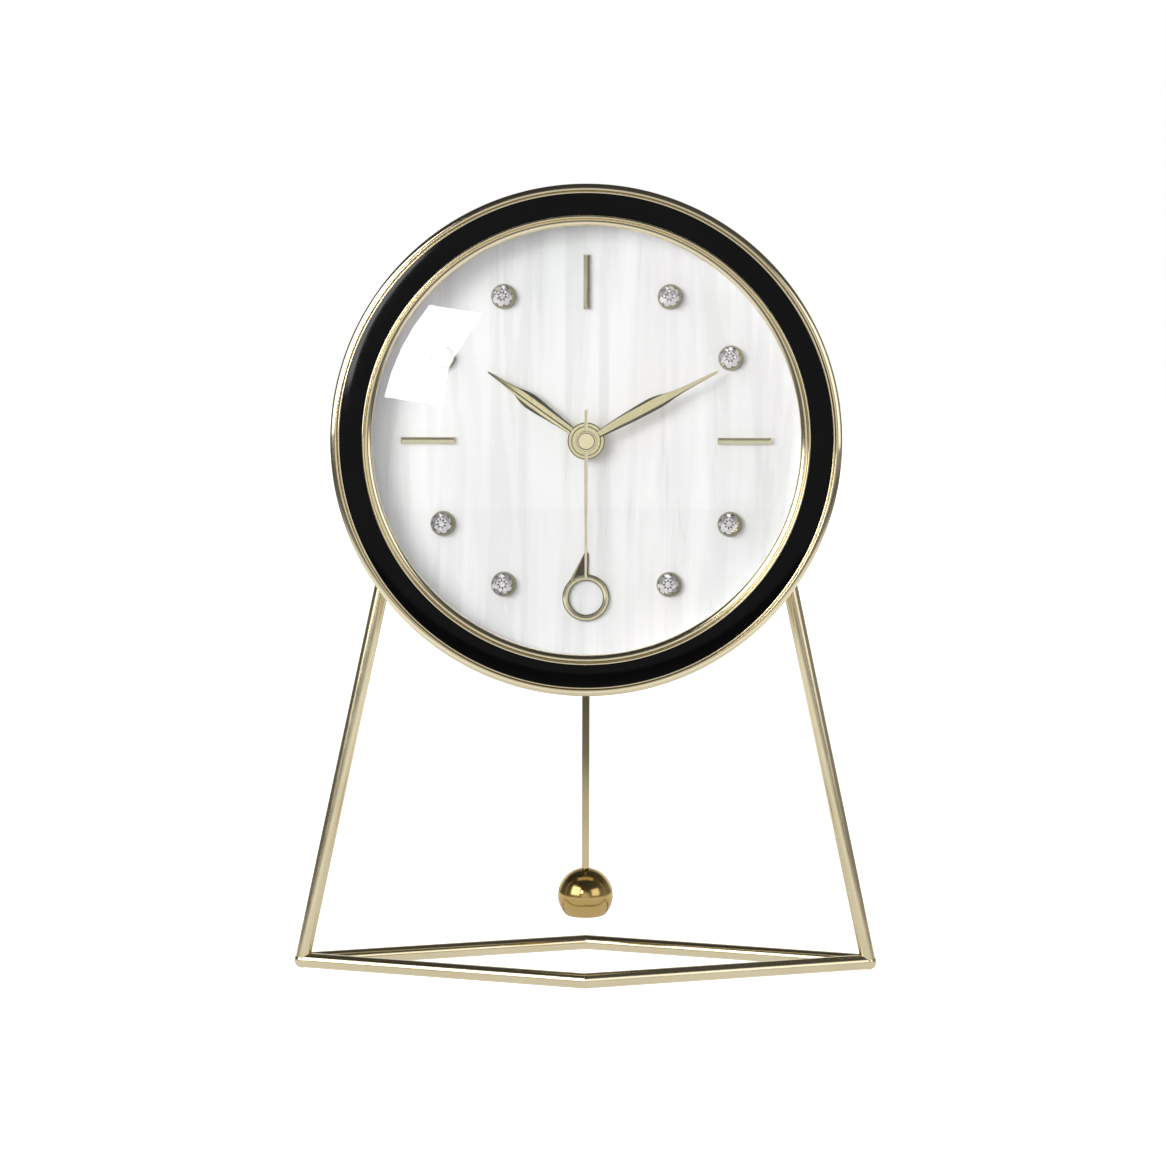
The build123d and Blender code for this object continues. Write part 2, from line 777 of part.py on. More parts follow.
# Domed glass, the same thickness all over, with a flat edge held by the rim
dome_edge = dial_opening_radius - ease
dome_radius = (dome_edge**2 + lens_rise**2) / (2 * lens_rise)
dome_half_turn = asin(dome_edge / dome_radius) / 2
dome_middle = (dome_radius * sin(dome_half_turn), lens_rise - dome_radius * (1 - cos(dome_half_turn)))
with BuildPart() as lens:
    with BuildSketch(section_plane):
        with BuildLine():
            ThreePointArc(
                (0, lens_front_y - lens_rise),
                (dome_middle[0], lens_front_y - dome_middle[1]),
                (dome_edge, lens_front_y),
            )
            Polyline(
                (dome_edge, lens_front_y),
                (lens_radius, lens_front_y),
                (lens_radius, lens_rear_y),
                (dome_edge, lens_rear_y),
            )
            ThreePointArc(
                (dome_edge, lens_rear_y),
                (dome_middle[0], lens_rear_y - dome_middle[1]),
                (0, lens_rear_y - lens_rise),
            )
            Line((0, lens_rear_y - lens_rise), (0, lens_front_y - lens_rise))
        make_face()
    revolve(axis=head_axis)
lens.part.label = "lens"
export_step(lens.part, "parts/lens.step")

# Spacer ring that holds the glass away from the dial
spacer_inner_radius = lens_radius - spacer_wall
with BuildPart() as spacer_ring:
    extrude(ring(facing(dial_y), lens_radius, spacer_inner_radius), amount=spacer_length)
spacer_ring.part.label = "spacer_ring"
export_step(spacer_ring.part, "parts/spacer_ring.step")

# Dial: a stiff plate and the thin mother-of-pearl face on it
shaft_hole_radius = bushing_radius + slip
with BuildPart() as dial_plate:
    extrude(ring(facing(dial_plate_rear_y), dial_radius, shaft_hole_radius), amount=dial_plate_thickness)
dial_plate.part.label = "dial_plate"
export_step(dial_plate.part, "parts/dial_plate.step")

with BuildPart() as pearl_face:
    extrude(ring(facing(dial_plate_front_y), dial_radius, shaft_hole_radius), amount=pearl_thickness)
pearl_face.part.label = "pearl_face"
export_step(pearl_face.part, "parts/pearl_face.step")

# Hour bars at twelve, three and nine, bevelled along the top
with BuildPart() as hour_bars:
    with BuildSketch(facing(dial_y)):
        for clock_angle in (0, 90, 270):
            place = on_dial(dial_opening_radius - bar_inset, clock_angle)
            with Locations(Location((*place, 0), (0, 0, 90 - clock_angle))):
                Rectangle(bar_length, bar_width)
    extrude(amount=bar_height)
    chamfer(hour_bars.faces().sort_by(Axis.Y)[:3].edges(), length=bar_chamfer)
hour_bars.part.label = "hour_bars"
export_step(hour_bars.part, "parts/hour_bars.step")

# Numeral six: a ring with a straight stem that leaves it on a tangent and ends in a point
numeral_ring_drop = dial_opening_radius - numeral_ring_inset
numeral_apex_drop = numeral_ring_drop - numeral_apex_rise
stem_turn = asin(numeral_ring_radius / numeral_apex_rise)
stem_length = sqrt(numeral_apex_rise**2 - numeral_ring_radius**2)
apex = (0, -numeral_apex_drop)
stem_foot = (-stem_length * sin(stem_turn), -numeral_apex_drop - stem_length * cos(stem_turn))
stem_foot_inner = (
    stem_foot[0] + numeral_stem_width * cos(stem_turn),
    stem_foot[1] - numeral_stem_width * sin(stem_turn),
)
apex_inner = (0, -numeral_apex_drop - numeral_stem_width / sin(stem_turn))
with BuildPart() as numeral_six:
    with BuildSketch(facing(dial_y)):
        with Locations((0, -numeral_ring_drop)):
            Circle(numeral_ring_radius)
        with BuildLine():
            Polyline(apex, stem_foot, stem_foot_inner, apex_inner, close=True)
        make_face()
        with Locations((0, -numeral_ring_drop)):
            Circle(numeral_ring_radius - numeral_ring_width, mode=Mode.SUBTRACT)
    extrude(amount=numeral_height)
    chamfer(numeral_six.faces().sort_by(Axis.Y)[0].edges(), length=numeral_chamfer)
numeral_six.part.label = "numeral_six"
export_step(numeral_six.part, "parts/numeral_six.step")

# Studs at the other eight hours: tapered cups with a faceted crystal in each
stud_places = [on_dial(dial_opening_radius - stud_inset, 30 * hour) for hour in (1, 2, 4, 5, 7, 8, 10, 11)]
stud_base_radius = crystal_radius + slip + stud_rim + stud_flare
stud_taper = degrees(atan2(stud_flare, stud_height))
stud_floor_y = dial_y - stud_height + stud_recess_depth
with BuildPart() as stud_cups:
    with BuildSketch(facing(dial_y)):
        with Locations(*stud_places):
            Circle(stud_base_radius)
    extrude(amount=stud_height, taper=stud_taper)
    with BuildSketch(facing(stud_floor_y)):
        with Locations(*stud_places):
            Circle(crystal_radius + slip)
    extrude(amount=stud_recess_depth + cut_over, mode=Mode.SUBTRACT)
stud_cups.part.label = "stud_cups"
export_step(stud_cups.part, "parts/stud_cups.step")

# One crystal: an eight-sided crown cut by a second crown turned half a side
crown_taper = degrees(atan2(crystal_crown_width, crystal_crown_height))
half_side = 180 / crystal_sides
with BuildPart() as one_crystal:
    with BuildSketch(facing(stud_floor_y)):
        RegularPolygon(crystal_radius, crystal_sides)
    extrude(amount=crystal_girdle_height)
    with BuildSketch(facing(stud_floor_y - crystal_girdle_height)):
        RegularPolygon(crystal_radius, crystal_sides)
    extrude(amount=crystal_crown_height, taper=crown_taper)
    with BuildSketch(facing(stud_floor_y)):
        RegularPolygon(crystal_radius / cos(radians(half_side)), crystal_sides, rotation=half_side)
    extrude(amount=crystal_girdle_height + crystal_crown_height, taper=crown_taper / 2, mode=Mode.INTERSECT)

with BuildPart() as stud_crystals:
    for across, up in stud_places:
        with Locations((across, 0, up)):
            add(one_crystal.part)
stud_crystals.part.label = "stud_crystals"
export_step(stud_crystals.part, "parts/stud_crystals.step")

# Hands, each on its own tube or arbor
with BuildPart() as hour_hand:
    blade_rear_y = hour_hand_rear_y - hand_boss_thickness + hand_ridge_height
    add(hand_blade(hour_hand_length, hour_hand_angle, blade_rear_y, hour_hand_shares))
    add(hand_boss(hour_hand_rear_y, hour_boss_radius, hour_tube_radius))
    face = disc(facing(hour_hand_rear_y), hour_tube_radius)
    extrude(face, amount=hand_boss_thickness, mode=Mode.SUBTRACT)
hour_hand.part.label = "hour_hand"
export_step(hour_hand.part, "parts/hour_hand.step")

with BuildPart() as minute_hand:
    blade_rear_y = minute_hand_rear_y - hand_boss_thickness + hand_ridge_height
    add(hand_blade(minute_hand_length, minute_hand_angle, blade_rear_y, minute_hand_shares))
    add(hand_boss(minute_hand_rear_y, minute_boss_radius, minute_tube_radius))
    face = disc(facing(minute_hand_rear_y), minute_tube_radius)
    extrude(face, amount=hand_boss_thickness, mode=Mode.SUBTRACT)
minute_hand.part.label = "minute_hand"
export_step(minute_hand.part, "parts/minute_hand.step")

arbor_front_y = second_hand_rear_y - second_hub_height / 2
with BuildPart() as second_hand:
    with BuildSketch(facing(second_hand_rear_y)):
        with Locations((0, (second_hand_tail - second_hand_length) / 2)):
            Rectangle(second_hand_width, second_hand_tail + second_hand_length)
    extrude(amount=second_hand_thickness)
    extrude(disc(facing(second_hand_rear_y), second_hub_radius), amount=second_hub_height)
    chamfer(second_hand.edges().sort_by(Axis.Y)[0], length=second_hub_chamfer)
    groove_radius = second_hub_radius - second_hub_rim
    face = ring(facing(second_hub_front_y), groove_radius, groove_radius - second_hub_groove_width)
    extrude(face, amount=-second_hub_groove_width, mode=Mode.SUBTRACT)
    extrude(disc(facing(second_hand_rear_y), arbor_radius), amount=second_hub_height / 2, mode=Mode.SUBTRACT)
second_hand.part.label = "second_hand"
export_step(second_hand.part, "parts/second_hand.step")

# Threaded bushing, its nut and washers, which clamp the movement to the dial
with BuildPart() as bushing:
    extrude(disc(facing(case_inner_y), bushing_flange_radius), amount=bushing_flange_thickness)
    extrude(disc(facing(case_inner_y), bushing_radius), amount=case_inner_y - bushing_front_y)
    face = disc(facing(case_inner_y), bushing_bore_radius)
    extrude(face, amount=case_inner_y - bushing_front_y, mode=Mode.SUBTRACT)
bushing.part.label = "bushing"
export_step(bushing.part, "parts/bushing.step")

with BuildPart() as bushing_nut:
    with BuildSketch(facing(washer_front_y)):
        RegularPolygon(nut_flat_radius, 6, major_radius=False)
        Circle(bushing_radius, mode=Mode.SUBTRACT)
    extrude(amount=nut_thickness)
bushing_nut.part.label = "bushing_nut"
export_step(bushing_nut.part, "parts/bushing_nut.step")

with BuildPart() as bushing_washer:
    extrude(ring(facing(dial_y), washer_radius, shaft_hole_radius), amount=washer_thickness)
bushing_washer.part.label = "bushing_washer"
export_step(bushing_washer.part, "parts/bushing_washer.step")

with BuildPart() as rubber_washer:
    face = ring(facing(case_front_y), rubber_washer_radius, shaft_hole_radius)
    extrude(face, amount=rubber_washer_thickness)
rubber_washer.part.label = "rubber_washer"
export_step(rubber_washer.part, "parts/rubber_washer.step")

# Movement case: an open tray whose front wall takes the bushing and the pivots, closed by a lid
hook_front_y = pendulum_depth - hook_thickness / 2
drive_y = hook_front_y - ease - arm_thickness
bearing_places = [third_place, fifth_place, rotor_place]
inner_depth = lid_inner_y - case_inner_y


def pivot_holes(depth, places, radius):
    """One circle at each arbor."""
    with BuildSketch(facing(depth)) as face:
        with Locations(*places):
            Circle(radius)
    return face.sketch


with BuildPart() as movement_front_case:
    extrude(case_outline(facing(lid_inner_y)), amount=case_depth - case_wall)
    extrude(case_outline(facing(lid_inner_y), case_wall), amount=inner_depth, mode=Mode.SUBTRACT)
    with BuildSketch(facing(lid_inner_y, 0, bay_wall / 2 - bay_top_drop)):
        Rectangle(2 * case_inner_half, bay_wall)
    extrude(amount=inner_depth)
    face = disc(facing(case_inner_y), bushing_flange_radius)
    extrude(face, amount=bushing_flange_thickness, mode=Mode.SUBTRACT)
    extrude(disc(facing(case_inner_y), bushing_radius), amount=case_wall, mode=Mode.SUBTRACT)
    extrude(
        pivot_holes(case_inner_y, [*bearing_places, knob_place], arbor_radius + slip),
        amount=pivot_depth,
        mode=Mode.SUBTRACT,
    )
    extrude(
        pivot_holes(motion_layer_y + pinion_thickness, [minute_place], minute_post_radius),
        amount=motion_layer_y + pinion_thickness - case_inner_y,
    )
    extrude(
        pivot_holes(case_inner_y, [(0, -pivot_drop)], pivot_pin_radius),
        amount=pivot_depth,
        mode=Mode.SUBTRACT,
    )
    slot_middle_y = drive_y + arm_thickness / 2
    with BuildSketch(Plane(origin=(0, slot_middle_y, head_z - lower_case_drop))):
        Rectangle(2 * arm_slot_half_width, arm_thickness + 2 * arm_slot_gap)
    extrude(amount=2 * case_wall, both=True, mode=Mode.SUBTRACT)
movement_front_case.part.label = "movement_front_case"
export_step(movement_front_case.part, "parts/movement_front_case.step")

board_front_y = lid_inner_y - board_standoff - board_thickness
stator_front_y = rotor_layer_y + (rotor_length - stator_thickness) / 2
stator_rear_y = stator_front_y + stator_thickness
board_right = board_left + board_width
board_posts = [
    (board_left + board_post_inset, board_bottom + board_post_inset),
    (board_right - board_post_inset, board_top - board_post_inset),
]
post_inset = stator_post_radius + slip
stator_posts = [
    (rotor_place[0] - stator_bar_reach + post_inset, rotor_place[1] - stator_bar_below + post_inset),
    (rotor_place[0] + stator_bar_reach - post_inset, rotor_place[1] - stator_bar_below + post_inset),
]
with BuildPart() as movement_rear_case:
    extrude(case_outline(facing(case_rear_y)), amount=case_wall)
    chamfer(movement_rear_case.faces().sort_by(Axis.Y)[-1].edges(), length=case_rear_chamfer)
    extrude(pivot_holes(lid_inner_y, board_posts, board_post_radius), amount=board_standoff)
    extrude(pivot_holes(lid_inner_y, stator_posts, stator_post_radius), amount=lid_inner_y - stator_rear_y)
    extrude(
        pivot_holes(lid_inner_y, [(0, 0), *bearing_places], arbor_radius + slip),
        amount=-pivot_depth,
        mode=Mode.SUBTRACT,
    )
    extrude(
        pivot_holes(case_rear_y, [knob_place], knob_stem_radius + slip),
        amount=case_wall,
        mode=Mode.SUBTRACT,
    )
    extrude(
        pivot_holes(lid_inner_y, [(0, -pivot_drop)], pivot_pin_radius),
        amount=-pivot_depth,
        mode=Mode.SUBTRACT,
    )
    with BuildSketch(facing(case_rear_y, 0, -cell_drop)):
        Rectangle(2 * case_inner_half, bay_height)
    extrude(amount=case_wall, mode=Mode.SUBTRACT)
movement_rear_case.part.label = "movement_rear_case"
export_step(movement_rear_case.part, "parts/movement_rear_case.step")

# A tooth of one gear faces a gap of the other along the line of centres
back_angle = train_angle + 180

# Rotor: a magnet on an arbor with the first pinion
pivot_front_y = case_inner_y - pivot_depth + ease
pivot_rear_y = lid_inner_y + pivot_depth - ease
pivot_length = pivot_rear_y - pivot_front_y
with BuildPart() as rotor_pinion:
    extrude(disc(facing(pivot_rear_y, *rotor_place), arbor_radius), amount=pivot_length)
    first_tooth = back_angle + half_step(pinion_teeth)
    face = gear(fifth_layer_y + pinion_thickness, rotor_place, pinion_teeth, rotor_pinion_pitch, first_tooth)
    extrude(face, amount=pinion_thickness)
rotor_pinion.part.label = "rotor_pinion"
export_step(rotor_pinion.part, "parts/rotor_pinion.step")

with BuildPart() as rotor_magnet:
    extrude(disc(facing(rotor_layer_y + rotor_length, *rotor_place), rotor_radius), amount=rotor_length)
    extrude(
        disc(facing(rotor_layer_y + rotor_length, *rotor_place), arbor_radius),
        amount=rotor_length,
        mode=Mode.SUBTRACT,
    )
rotor_magnet.part.label = "rotor_magnet"
export_step(rotor_magnet.part, "parts/rotor_magnet.step")

# Fifth wheel: driven by the rotor, drives the seconds wheel
wheel_inset = (pinion_thickness - wheel_thickness) / 2
with BuildPart() as fifth_wheel:
    extrude(disc(facing(pivot_rear_y, *fifth_place), arbor_radius), amount=pivot_length)
    wheel_rear_y = fifth_layer_y + wheel_inset + wheel_thickness
    face = gear(wheel_rear_y, fifth_place, fifth_wheel_teeth, fifth_wheel_pitch, train_angle)
    extrude(face, amount=wheel_thickness)
    face = gear(seconds_layer_y + pinion_thickness, fifth_place, pinion_teeth, fifth_pinion_pitch, back_angle)
    extrude(face, amount=pinion_thickness)
fifth_wheel.part.label = "fifth_wheel"
export_step(fifth_wheel.part, "parts/fifth_wheel.step")

# Seconds wheel: turns once a minute, and its arbor carries the second hand
with BuildPart() as seconds_wheel:
    extrude(disc(facing(pivot_rear_y), arbor_radius), amount=pivot_rear_y - arbor_front_y)
    wheel_rear_y = seconds_layer_y + wheel_inset + wheel_thickness
    first_tooth = train_angle + half_step(seconds_wheel_teeth)
    face = gear(wheel_rear_y, (0, 0), seconds_wheel_teeth, seconds_wheel_pitch, first_tooth)
    extrude(face, amount=wheel_thickness)
    face = gear(third_layer_y + pinion_thickness, (0, 0), pinion_teeth, fourth_pinion_pitch, 90)
    extrude(face, amount=pinion_thickness)
seconds_wheel.part.label = "seconds_wheel"
export_step(seconds_wheel.part, "parts/seconds_wheel.step")

# Third wheel: above the centre, between the seconds wheel and the centre wheel
with BuildPart() as third_wheel:
    extrude(disc(facing(pivot_rear_y, *third_place), arbor_radius), amount=pivot_length)
    wheel_rear_y = third_layer_y + wheel_inset + wheel_thickness
    first_tooth = -90 + half_step(third_wheel_teeth)
    face = gear(wheel_rear_y, third_place, third_wheel_teeth, third_wheel_pitch, first_tooth)
    extrude(face, amount=wheel_thickness)
    face = gear(centre_layer_y + pinion_thickness, third_place, pinion_teeth, third_pinion_pitch, -90)
    extrude(face, amount=pinion_thickness)
third_wheel.part.label = "third_wheel"
export_step(third_wheel.part, "parts/third_wheel.step")

# Centre wheel: turns once an hour and grips the tail of the cannon pinion by friction
with BuildPart() as centre_wheel:
    wheel_rear_y = centre_layer_y + wheel_inset + wheel_thickness
    first_tooth = 90 + half_step(centre_wheel_teeth)
    face = gear(
        wheel_rear_y, (0, 0), centre_wheel_teeth, centre_wheel_pitch, first_tooth, cannon_tail_radius + slip
    )
    extrude(face, amount=wheel_thickness)
centre_wheel.part.label = "centre_wheel"
export_step(centre_wheel.part, "parts/centre_wheel.step")

# Cannon pinion: the tube of the minute hand, with a tail for the centre wheel
cannon_rear_y = centre_layer_y + pinion_thickness
with BuildPart() as cannon_pinion:
    extrude(disc(facing(cannon_rear_y), cannon_tail_radius), amount=cannon_rear_y - motion_layer_y)
    face = gear(motion_layer_y + pinion_thickness, (0, 0), cannon_teeth, cannon_pitch, 180)
    extrude(face, amount=pinion_thickness)
    extrude(disc(facing(motion_layer_y), minute_tube_radius), amount=motion_layer_y - minute_hand_front_y)
    extrude(
        disc(facing(cannon_rear_y), tube_bore_radius),
        amount=cannon_rear_y - minute_hand_front_y,
        mode=Mode.SUBTRACT,
    )
cannon_pinion.part.label = "cannon_pinion"
export_step(cannon_pinion.part, "parts/cannon_pinion.step")

# Minute wheel: runs on a post of the tray, and steps the motion down to the hour wheel
with BuildPart() as minute_wheel:
    wheel_rear_y = motion_layer_y + wheel_inset + wheel_thickness
    first_tooth = half_step(minute_wheel_teeth)
    bore = minute_post_radius + slip
    face = gear(wheel_rear_y, minute_place, minute_wheel_teeth, minute_wheel_pitch, first_tooth, bore)
    extrude(face, amount=wheel_thickness)
    pinion_rear_y = wheel_rear_y - wheel_thickness
    face = gear(pinion_rear_y, minute_place, minute_pinion_teeth, minute_pinion_pitch, 0, bore)
    extrude(face, amount=pinion_rear_y - hour_layer_y)
minute_wheel.part.label = "minute_wheel"
export_step(minute_wheel.part, "parts/minute_wheel.step")

# Hour wheel: its tube runs on the minute tube and carries the hour hand
with BuildPart() as hour_wheel:
    first_tooth = 180 + half_step(hour_wheel_teeth)
    face = gear(hour_layer_y + hour_wheel_thickness, (0, 0), hour_wheel_teeth, hour_wheel_pitch, first_tooth)
    extrude(face, amount=hour_wheel_thickness)
    extrude(disc(facing(hour_layer_y), hour_tube_radius), amount=hour_layer_y - hour_hand_front_y)
    extrude(
        disc(facing(hour_layer_y + hour_wheel_thickness), hour_bore_radius),
        amount=hour_layer_y + hour_wheel_thickness - hour_hand_front_y,
        mode=Mode.SUBTRACT,
    )
hour_wheel.part.label = "hour_wheel"
export_step(hour_wheel.part, "parts/hour_wheel.step")

# Setting knob: a fluted thumb wheel behind the case, whose pinion turns the minute wheel
knob_front_y = case_rear_y + knob_gap
knob_rear_y = knob_front_y + knob_height
with BuildPart() as setting_knob:
    extrude(disc(facing(knob_rear_y, *knob_place), knob_radius), amount=knob_height)
    with BuildSketch(facing(knob_rear_y, *knob_place)):
        with PolarLocations(knob_radius, knob_flute_count):
            Circle(knob_flute_radius)
    extrude(amount=knob_height, mode=Mode.SUBTRACT)
    extrude(disc(facing(knob_front_y, *knob_place), knob_stem_radius), amount=knob_front_y - motion_layer_y)
    face = gear(motion_layer_y + pinion_thickness, knob_place, cannon_teeth, cannon_pitch, 0)
    extrude(face, amount=pinion_thickness)
    extrude(disc(facing(motion_layer_y, *knob_place), arbor_radius), amount=motion_layer_y - pivot_front_y)
setting_knob.part.label = "setting_knob"
export_step(setting_knob.part, "parts/setting_knob.step")

# Stator: a soft-iron yoke round the rotor, its two legs spread to the ends of the coil core
bar_left = rotor_place[0] - stator_bar_reach
bar_right = rotor_place[0] + stator_bar_reach
bar_bottom = rotor_place[1] - stator_bar_below
bar_top = rotor_place[1] + stator_bar_above
left_tip = bar_left - stator_lean
right_tip = case_inner_half - slip
with BuildPart() as stator_yoke:
    with BuildSketch(facing(stator_rear_y)):
        with BuildLine():
            Polyline(
                (bar_left, bar_bottom),
                (bar_right, bar_bottom),
                (bar_right, bar_top),
                (right_tip, stator_top),
                (right_tip - stator_leg_width, stator_top),
                (bar_right - stator_leg_width, bar_top),
                (bar_left + stator_leg_width, bar_top),
                (left_tip + stator_leg_width, stator_top),
                (left_tip, stator_top),
                (bar_left, bar_top),
                close=True,
            )
        make_face()
        with Locations(rotor_place):
            Circle(rotor_radius + stator_gap, mode=Mode.SUBTRACT)
    extrude(amount=stator_thickness)
stator_yoke.part.label = "stator_yoke"
export_step(stator_yoke.part, "parts/stator_yoke.step")

# Motor coil: a flat core across the yoke, a flanged bobbin and the winding
core_up = stator_top - core_drop
core_y = stator_front_y - core_thickness / 2
core_length = right_tip - left_tip
with BuildPart() as coil_core:
    with BuildSketch(facing(stator_front_y, (left_tip + right_tip) / 2, core_up)):
        Rectangle(core_length, core_height)
    extrude(amount=core_thickness)
coil_core.part.label = "coil_core"
export_step(coil_core.part, "parts/coil_core.step")


def across_plane(across, depth, up):
    """Upright plane square to X, for pieces that lie across the case."""
    return Plane(origin=(across, depth, head_z + up), x_dir=(0, 1, 0), z_dir=(1, 0, 0))


bobbin_start = bar_left + bobbin_gap
bobbin_end = bobbin_start + bobbin_length
with BuildPart() as coil_bobbin:
    extrude(disc(across_plane(bobbin_start, core_y, core_up), bobbin_tube_radius), amount=bobbin_length)
    face = disc(across_plane(bobbin_start, core_y, core_up), bobbin_flange_radius)
    extrude(face, amount=bobbin_flange_thickness)
    face = disc(across_plane(bobbin_end, core_y, core_up), bobbin_flange_radius)
    extrude(face, amount=-bobbin_flange_thickness)
    add(coil_core.part, mode=Mode.SUBTRACT)
coil_bobbin.part.label = "coil_bobbin"
export_step(coil_bobbin.part, "parts/coil_bobbin.step")

winding_start = bobbin_start + bobbin_flange_thickness
winding_length = bobbin_length - 2 * bobbin_flange_thickness
with BuildPart() as coil_winding:
    face = ring(across_plane(winding_start, core_y, core_up), coil_radius, bobbin_tube_radius)
    extrude(face, amount=winding_length)
coil_winding.part.label = "coil_winding"
export_step(coil_winding.part, "parts/coil_winding.step")

# Quartz crystal in its can, laid in a slot of the circuit board, whose chip sits under a drop of resin
can_y = board_front_y - crystal_can_radius + crystal_can_sink
can_z = head_z + board_bottom + crystal_can_rise
with BuildPart() as quartz_can:
    can_plane = Plane(origin=(board_right - board_post_inset, can_y, can_z))
    extrude(disc(can_plane, crystal_can_radius), amount=crystal_can_length)
quartz_can.part.label = "quartz_can"
export_step(quartz_can.part, "parts/quartz_can.step")

with BuildPart() as circuit_board:
    with BuildSketch(facing(board_front_y + board_thickness)):
        with Locations(((board_left + board_right) / 2, (board_bottom + board_top) / 2)):
            Rectangle(board_width, board_height)
    extrude(amount=board_thickness)
    chip_place = (board_left + 2 * chip_radius, board_top - 2 * chip_radius)
    extrude(pivot_holes(board_front_y, [chip_place], chip_radius), amount=chip_height, taper=chip_taper)
    add(quartz_can.part, mode=Mode.SUBTRACT)
circuit_board.part.label = "circuit_board"
export_step(circuit_board.part, "parts/circuit_board.step")

# Battery: one AA cell, which lifts out of the back of its bay
cell_left = -cell_reach
cell_right = cell_left + cell_length
with BuildPart() as battery_cell:
    extrude(disc(across_plane(cell_left, cell_y, -cell_drop), cell_radius), amount=cell_length)
    chamfer(battery_cell.edges().filter_by(GeomType.CIRCLE), length=cell_edge)
    extrude(disc(across_plane(cell_right, cell_y, -cell_drop), cell_nub_radius), amount=cell_nub_length)
battery_cell.part.label = "battery_cell"
export_step(battery_cell.part, "parts/battery_cell.step")

# Battery contacts: a dimpled plate for the nub, and a bowed leaf for the flat end
contact_face = case_inner_half - contact_thickness
with BuildPart() as battery_contact_plus:
    with BuildSketch(across_plane(contact_face, cell_y, -cell_drop)):
        Rectangle(contact_width, contact_height)
    extrude(amount=contact_thickness)
    face = disc(across_plane(contact_face, cell_y, -cell_drop), contact_dimple_radius)
    extrude(face, amount=cell_reach + ease - contact_face)
battery_contact_plus.part.label = "battery_contact_plus"
export_step(battery_contact_plus.part, "parts/battery_contact_plus.step")

leaf_bow = contact_face - cell_reach - ease
with BuildPart() as battery_contact_minus:
    with BuildSketch(Plane(origin=(-case_inner_half, cell_y, head_z - cell_drop))):
        with BuildLine():
            bow_low = (contact_thickness, -contact_width / 2)
            bow_high = (contact_thickness, contact_width / 2)
            Line((0, -contact_width / 2), bow_low)
            ThreePointArc(bow_low, (contact_thickness + leaf_bow, 0), bow_high)
            Line(bow_high, (0, contact_width / 2))
            ThreePointArc((0, contact_width / 2), (leaf_bow, 0), (0, -contact_width / 2))
        make_face()
    extrude(amount=contact_height / 2, both=True)
battery_contact_minus.part.label = "battery_contact_minus"
export_step(battery_contact_minus.part, "parts/battery_contact_minus.step")

# Pendulum arm: hangs on a steel pin, carries the drive magnet, and leaves the case through a slot
hub_rear_y = drive_y + arm_thickness
with BuildPart() as pivot_pin:
    extrude(disc(facing(pivot_rear_y, 0, -pivot_drop), pivot_pin_radius), amount=pivot_length)
pivot_pin.part.label = "pivot_pin"
export_step(pivot_pin.part, "parts/pivot_pin.step")

with BuildPart() as pendulum_arm:
    with BuildSketch(facing(hub_rear_y, 0, -pivot_drop)):
        with Locations((0, -arm_reach / 2)):
            Rectangle(arm_width, arm_reach)
        with Locations((0, -arm_reach)):
            Circle(arm_width / 2)
    extrude(amount=arm_thickness)
    extrude(disc(facing(hub_rear_y, 0, -pivot_drop), arm_hub_radius), amount=arm_hub_length)
    extrude(
        disc(facing(hub_rear_y, 0, -pivot_drop), pivot_pin_radius + slip),
        amount=arm_hub_length,
        mode=Mode.SUBTRACT,
    )
    extrude(disc(facing(hub_rear_y, 0, -pivot_drop - arm_reach), hang_pin_radius), amount=-hang_pin_length)
pendulum_arm.part.label = "pendulum_arm"
export_step(pendulum_arm.part, "parts/pendulum_arm.step")

magnet_up = -pivot_drop - magnet_drop
magnet_front_y = drive_y - magnet_length
with BuildPart() as pendulum_magnet:
    extrude(disc(facing(drive_y, 0, magnet_up), magnet_radius), amount=magnet_length)
pendulum_magnet.part.label = "pendulum_magnet"
export_step(pendulum_magnet.part, "parts/pendulum_magnet.step")

# Drive coil in front of the magnet, on the front wall of the tray
drive_coil_rear_y = magnet_front_y - magnet_air_gap
drive_coil_length = drive_coil_rear_y - case_inner_y
with BuildPart() as drive_bobbin:
    extrude(disc(facing(drive_coil_rear_y, 0, magnet_up), drive_coil_radius), amount=drive_flange_thickness)
    extrude(disc(facing(drive_coil_rear_y, 0, magnet_up), drive_core_radius), amount=drive_coil_length)
    extrude(disc(facing(case_inner_y, 0, magnet_up), drive_coil_radius), amount=-drive_flange_thickness)
drive_bobbin.part.label = "drive_bobbin"
export_step(drive_bobbin.part, "parts/drive_bobbin.step")

with BuildPart() as drive_winding:
    face = ring(
        facing(drive_coil_rear_y - drive_flange_thickness, 0, magnet_up),
        drive_coil_radius - drive_flange_thickness,
        drive_core_radius,
    )
    extrude(face, amount=drive_coil_length - 2 * drive_flange_thickness)
drive_winding.part.label = "drive_winding"
export_step(drive_winding.part, "parts/drive_winding.step")

# Hook: a flat plate whose slot hangs on the pin of the arm, its shank let into the top of the rod
hang_up = -pivot_drop - arm_reach
hook_top = hang_up + hook_slot_drop
hook_bottom = hook_top - hook_height
hook_shank_half = pendulum_rod_radius
with BuildPart() as pendulum_hook:
    with BuildSketch(facing(hook_front_y + hook_thickness, 0, hang_up)):
        with Locations((0, hook_slot_drop - hook_width / 2)):
            RectangleRounded(hook_width, hook_width, hook_width / 3)
        with Locations((0, hook_slot_drop - hook_height / 2 - hook_width / 4)):
            Rectangle(2 * hook_shank_half, hook_height - hook_width / 2)
        Circle(hang_pin_radius, mode=Mode.SUBTRACT)
        with Locations((-hook_width / 4, -hook_width / 4)):
            Rectangle(hook_width / 2, hang_pin_radius, rotation=45, mode=Mode.SUBTRACT)
    extrude(amount=hook_thickness)
pendulum_hook.part.label = "pendulum_hook"
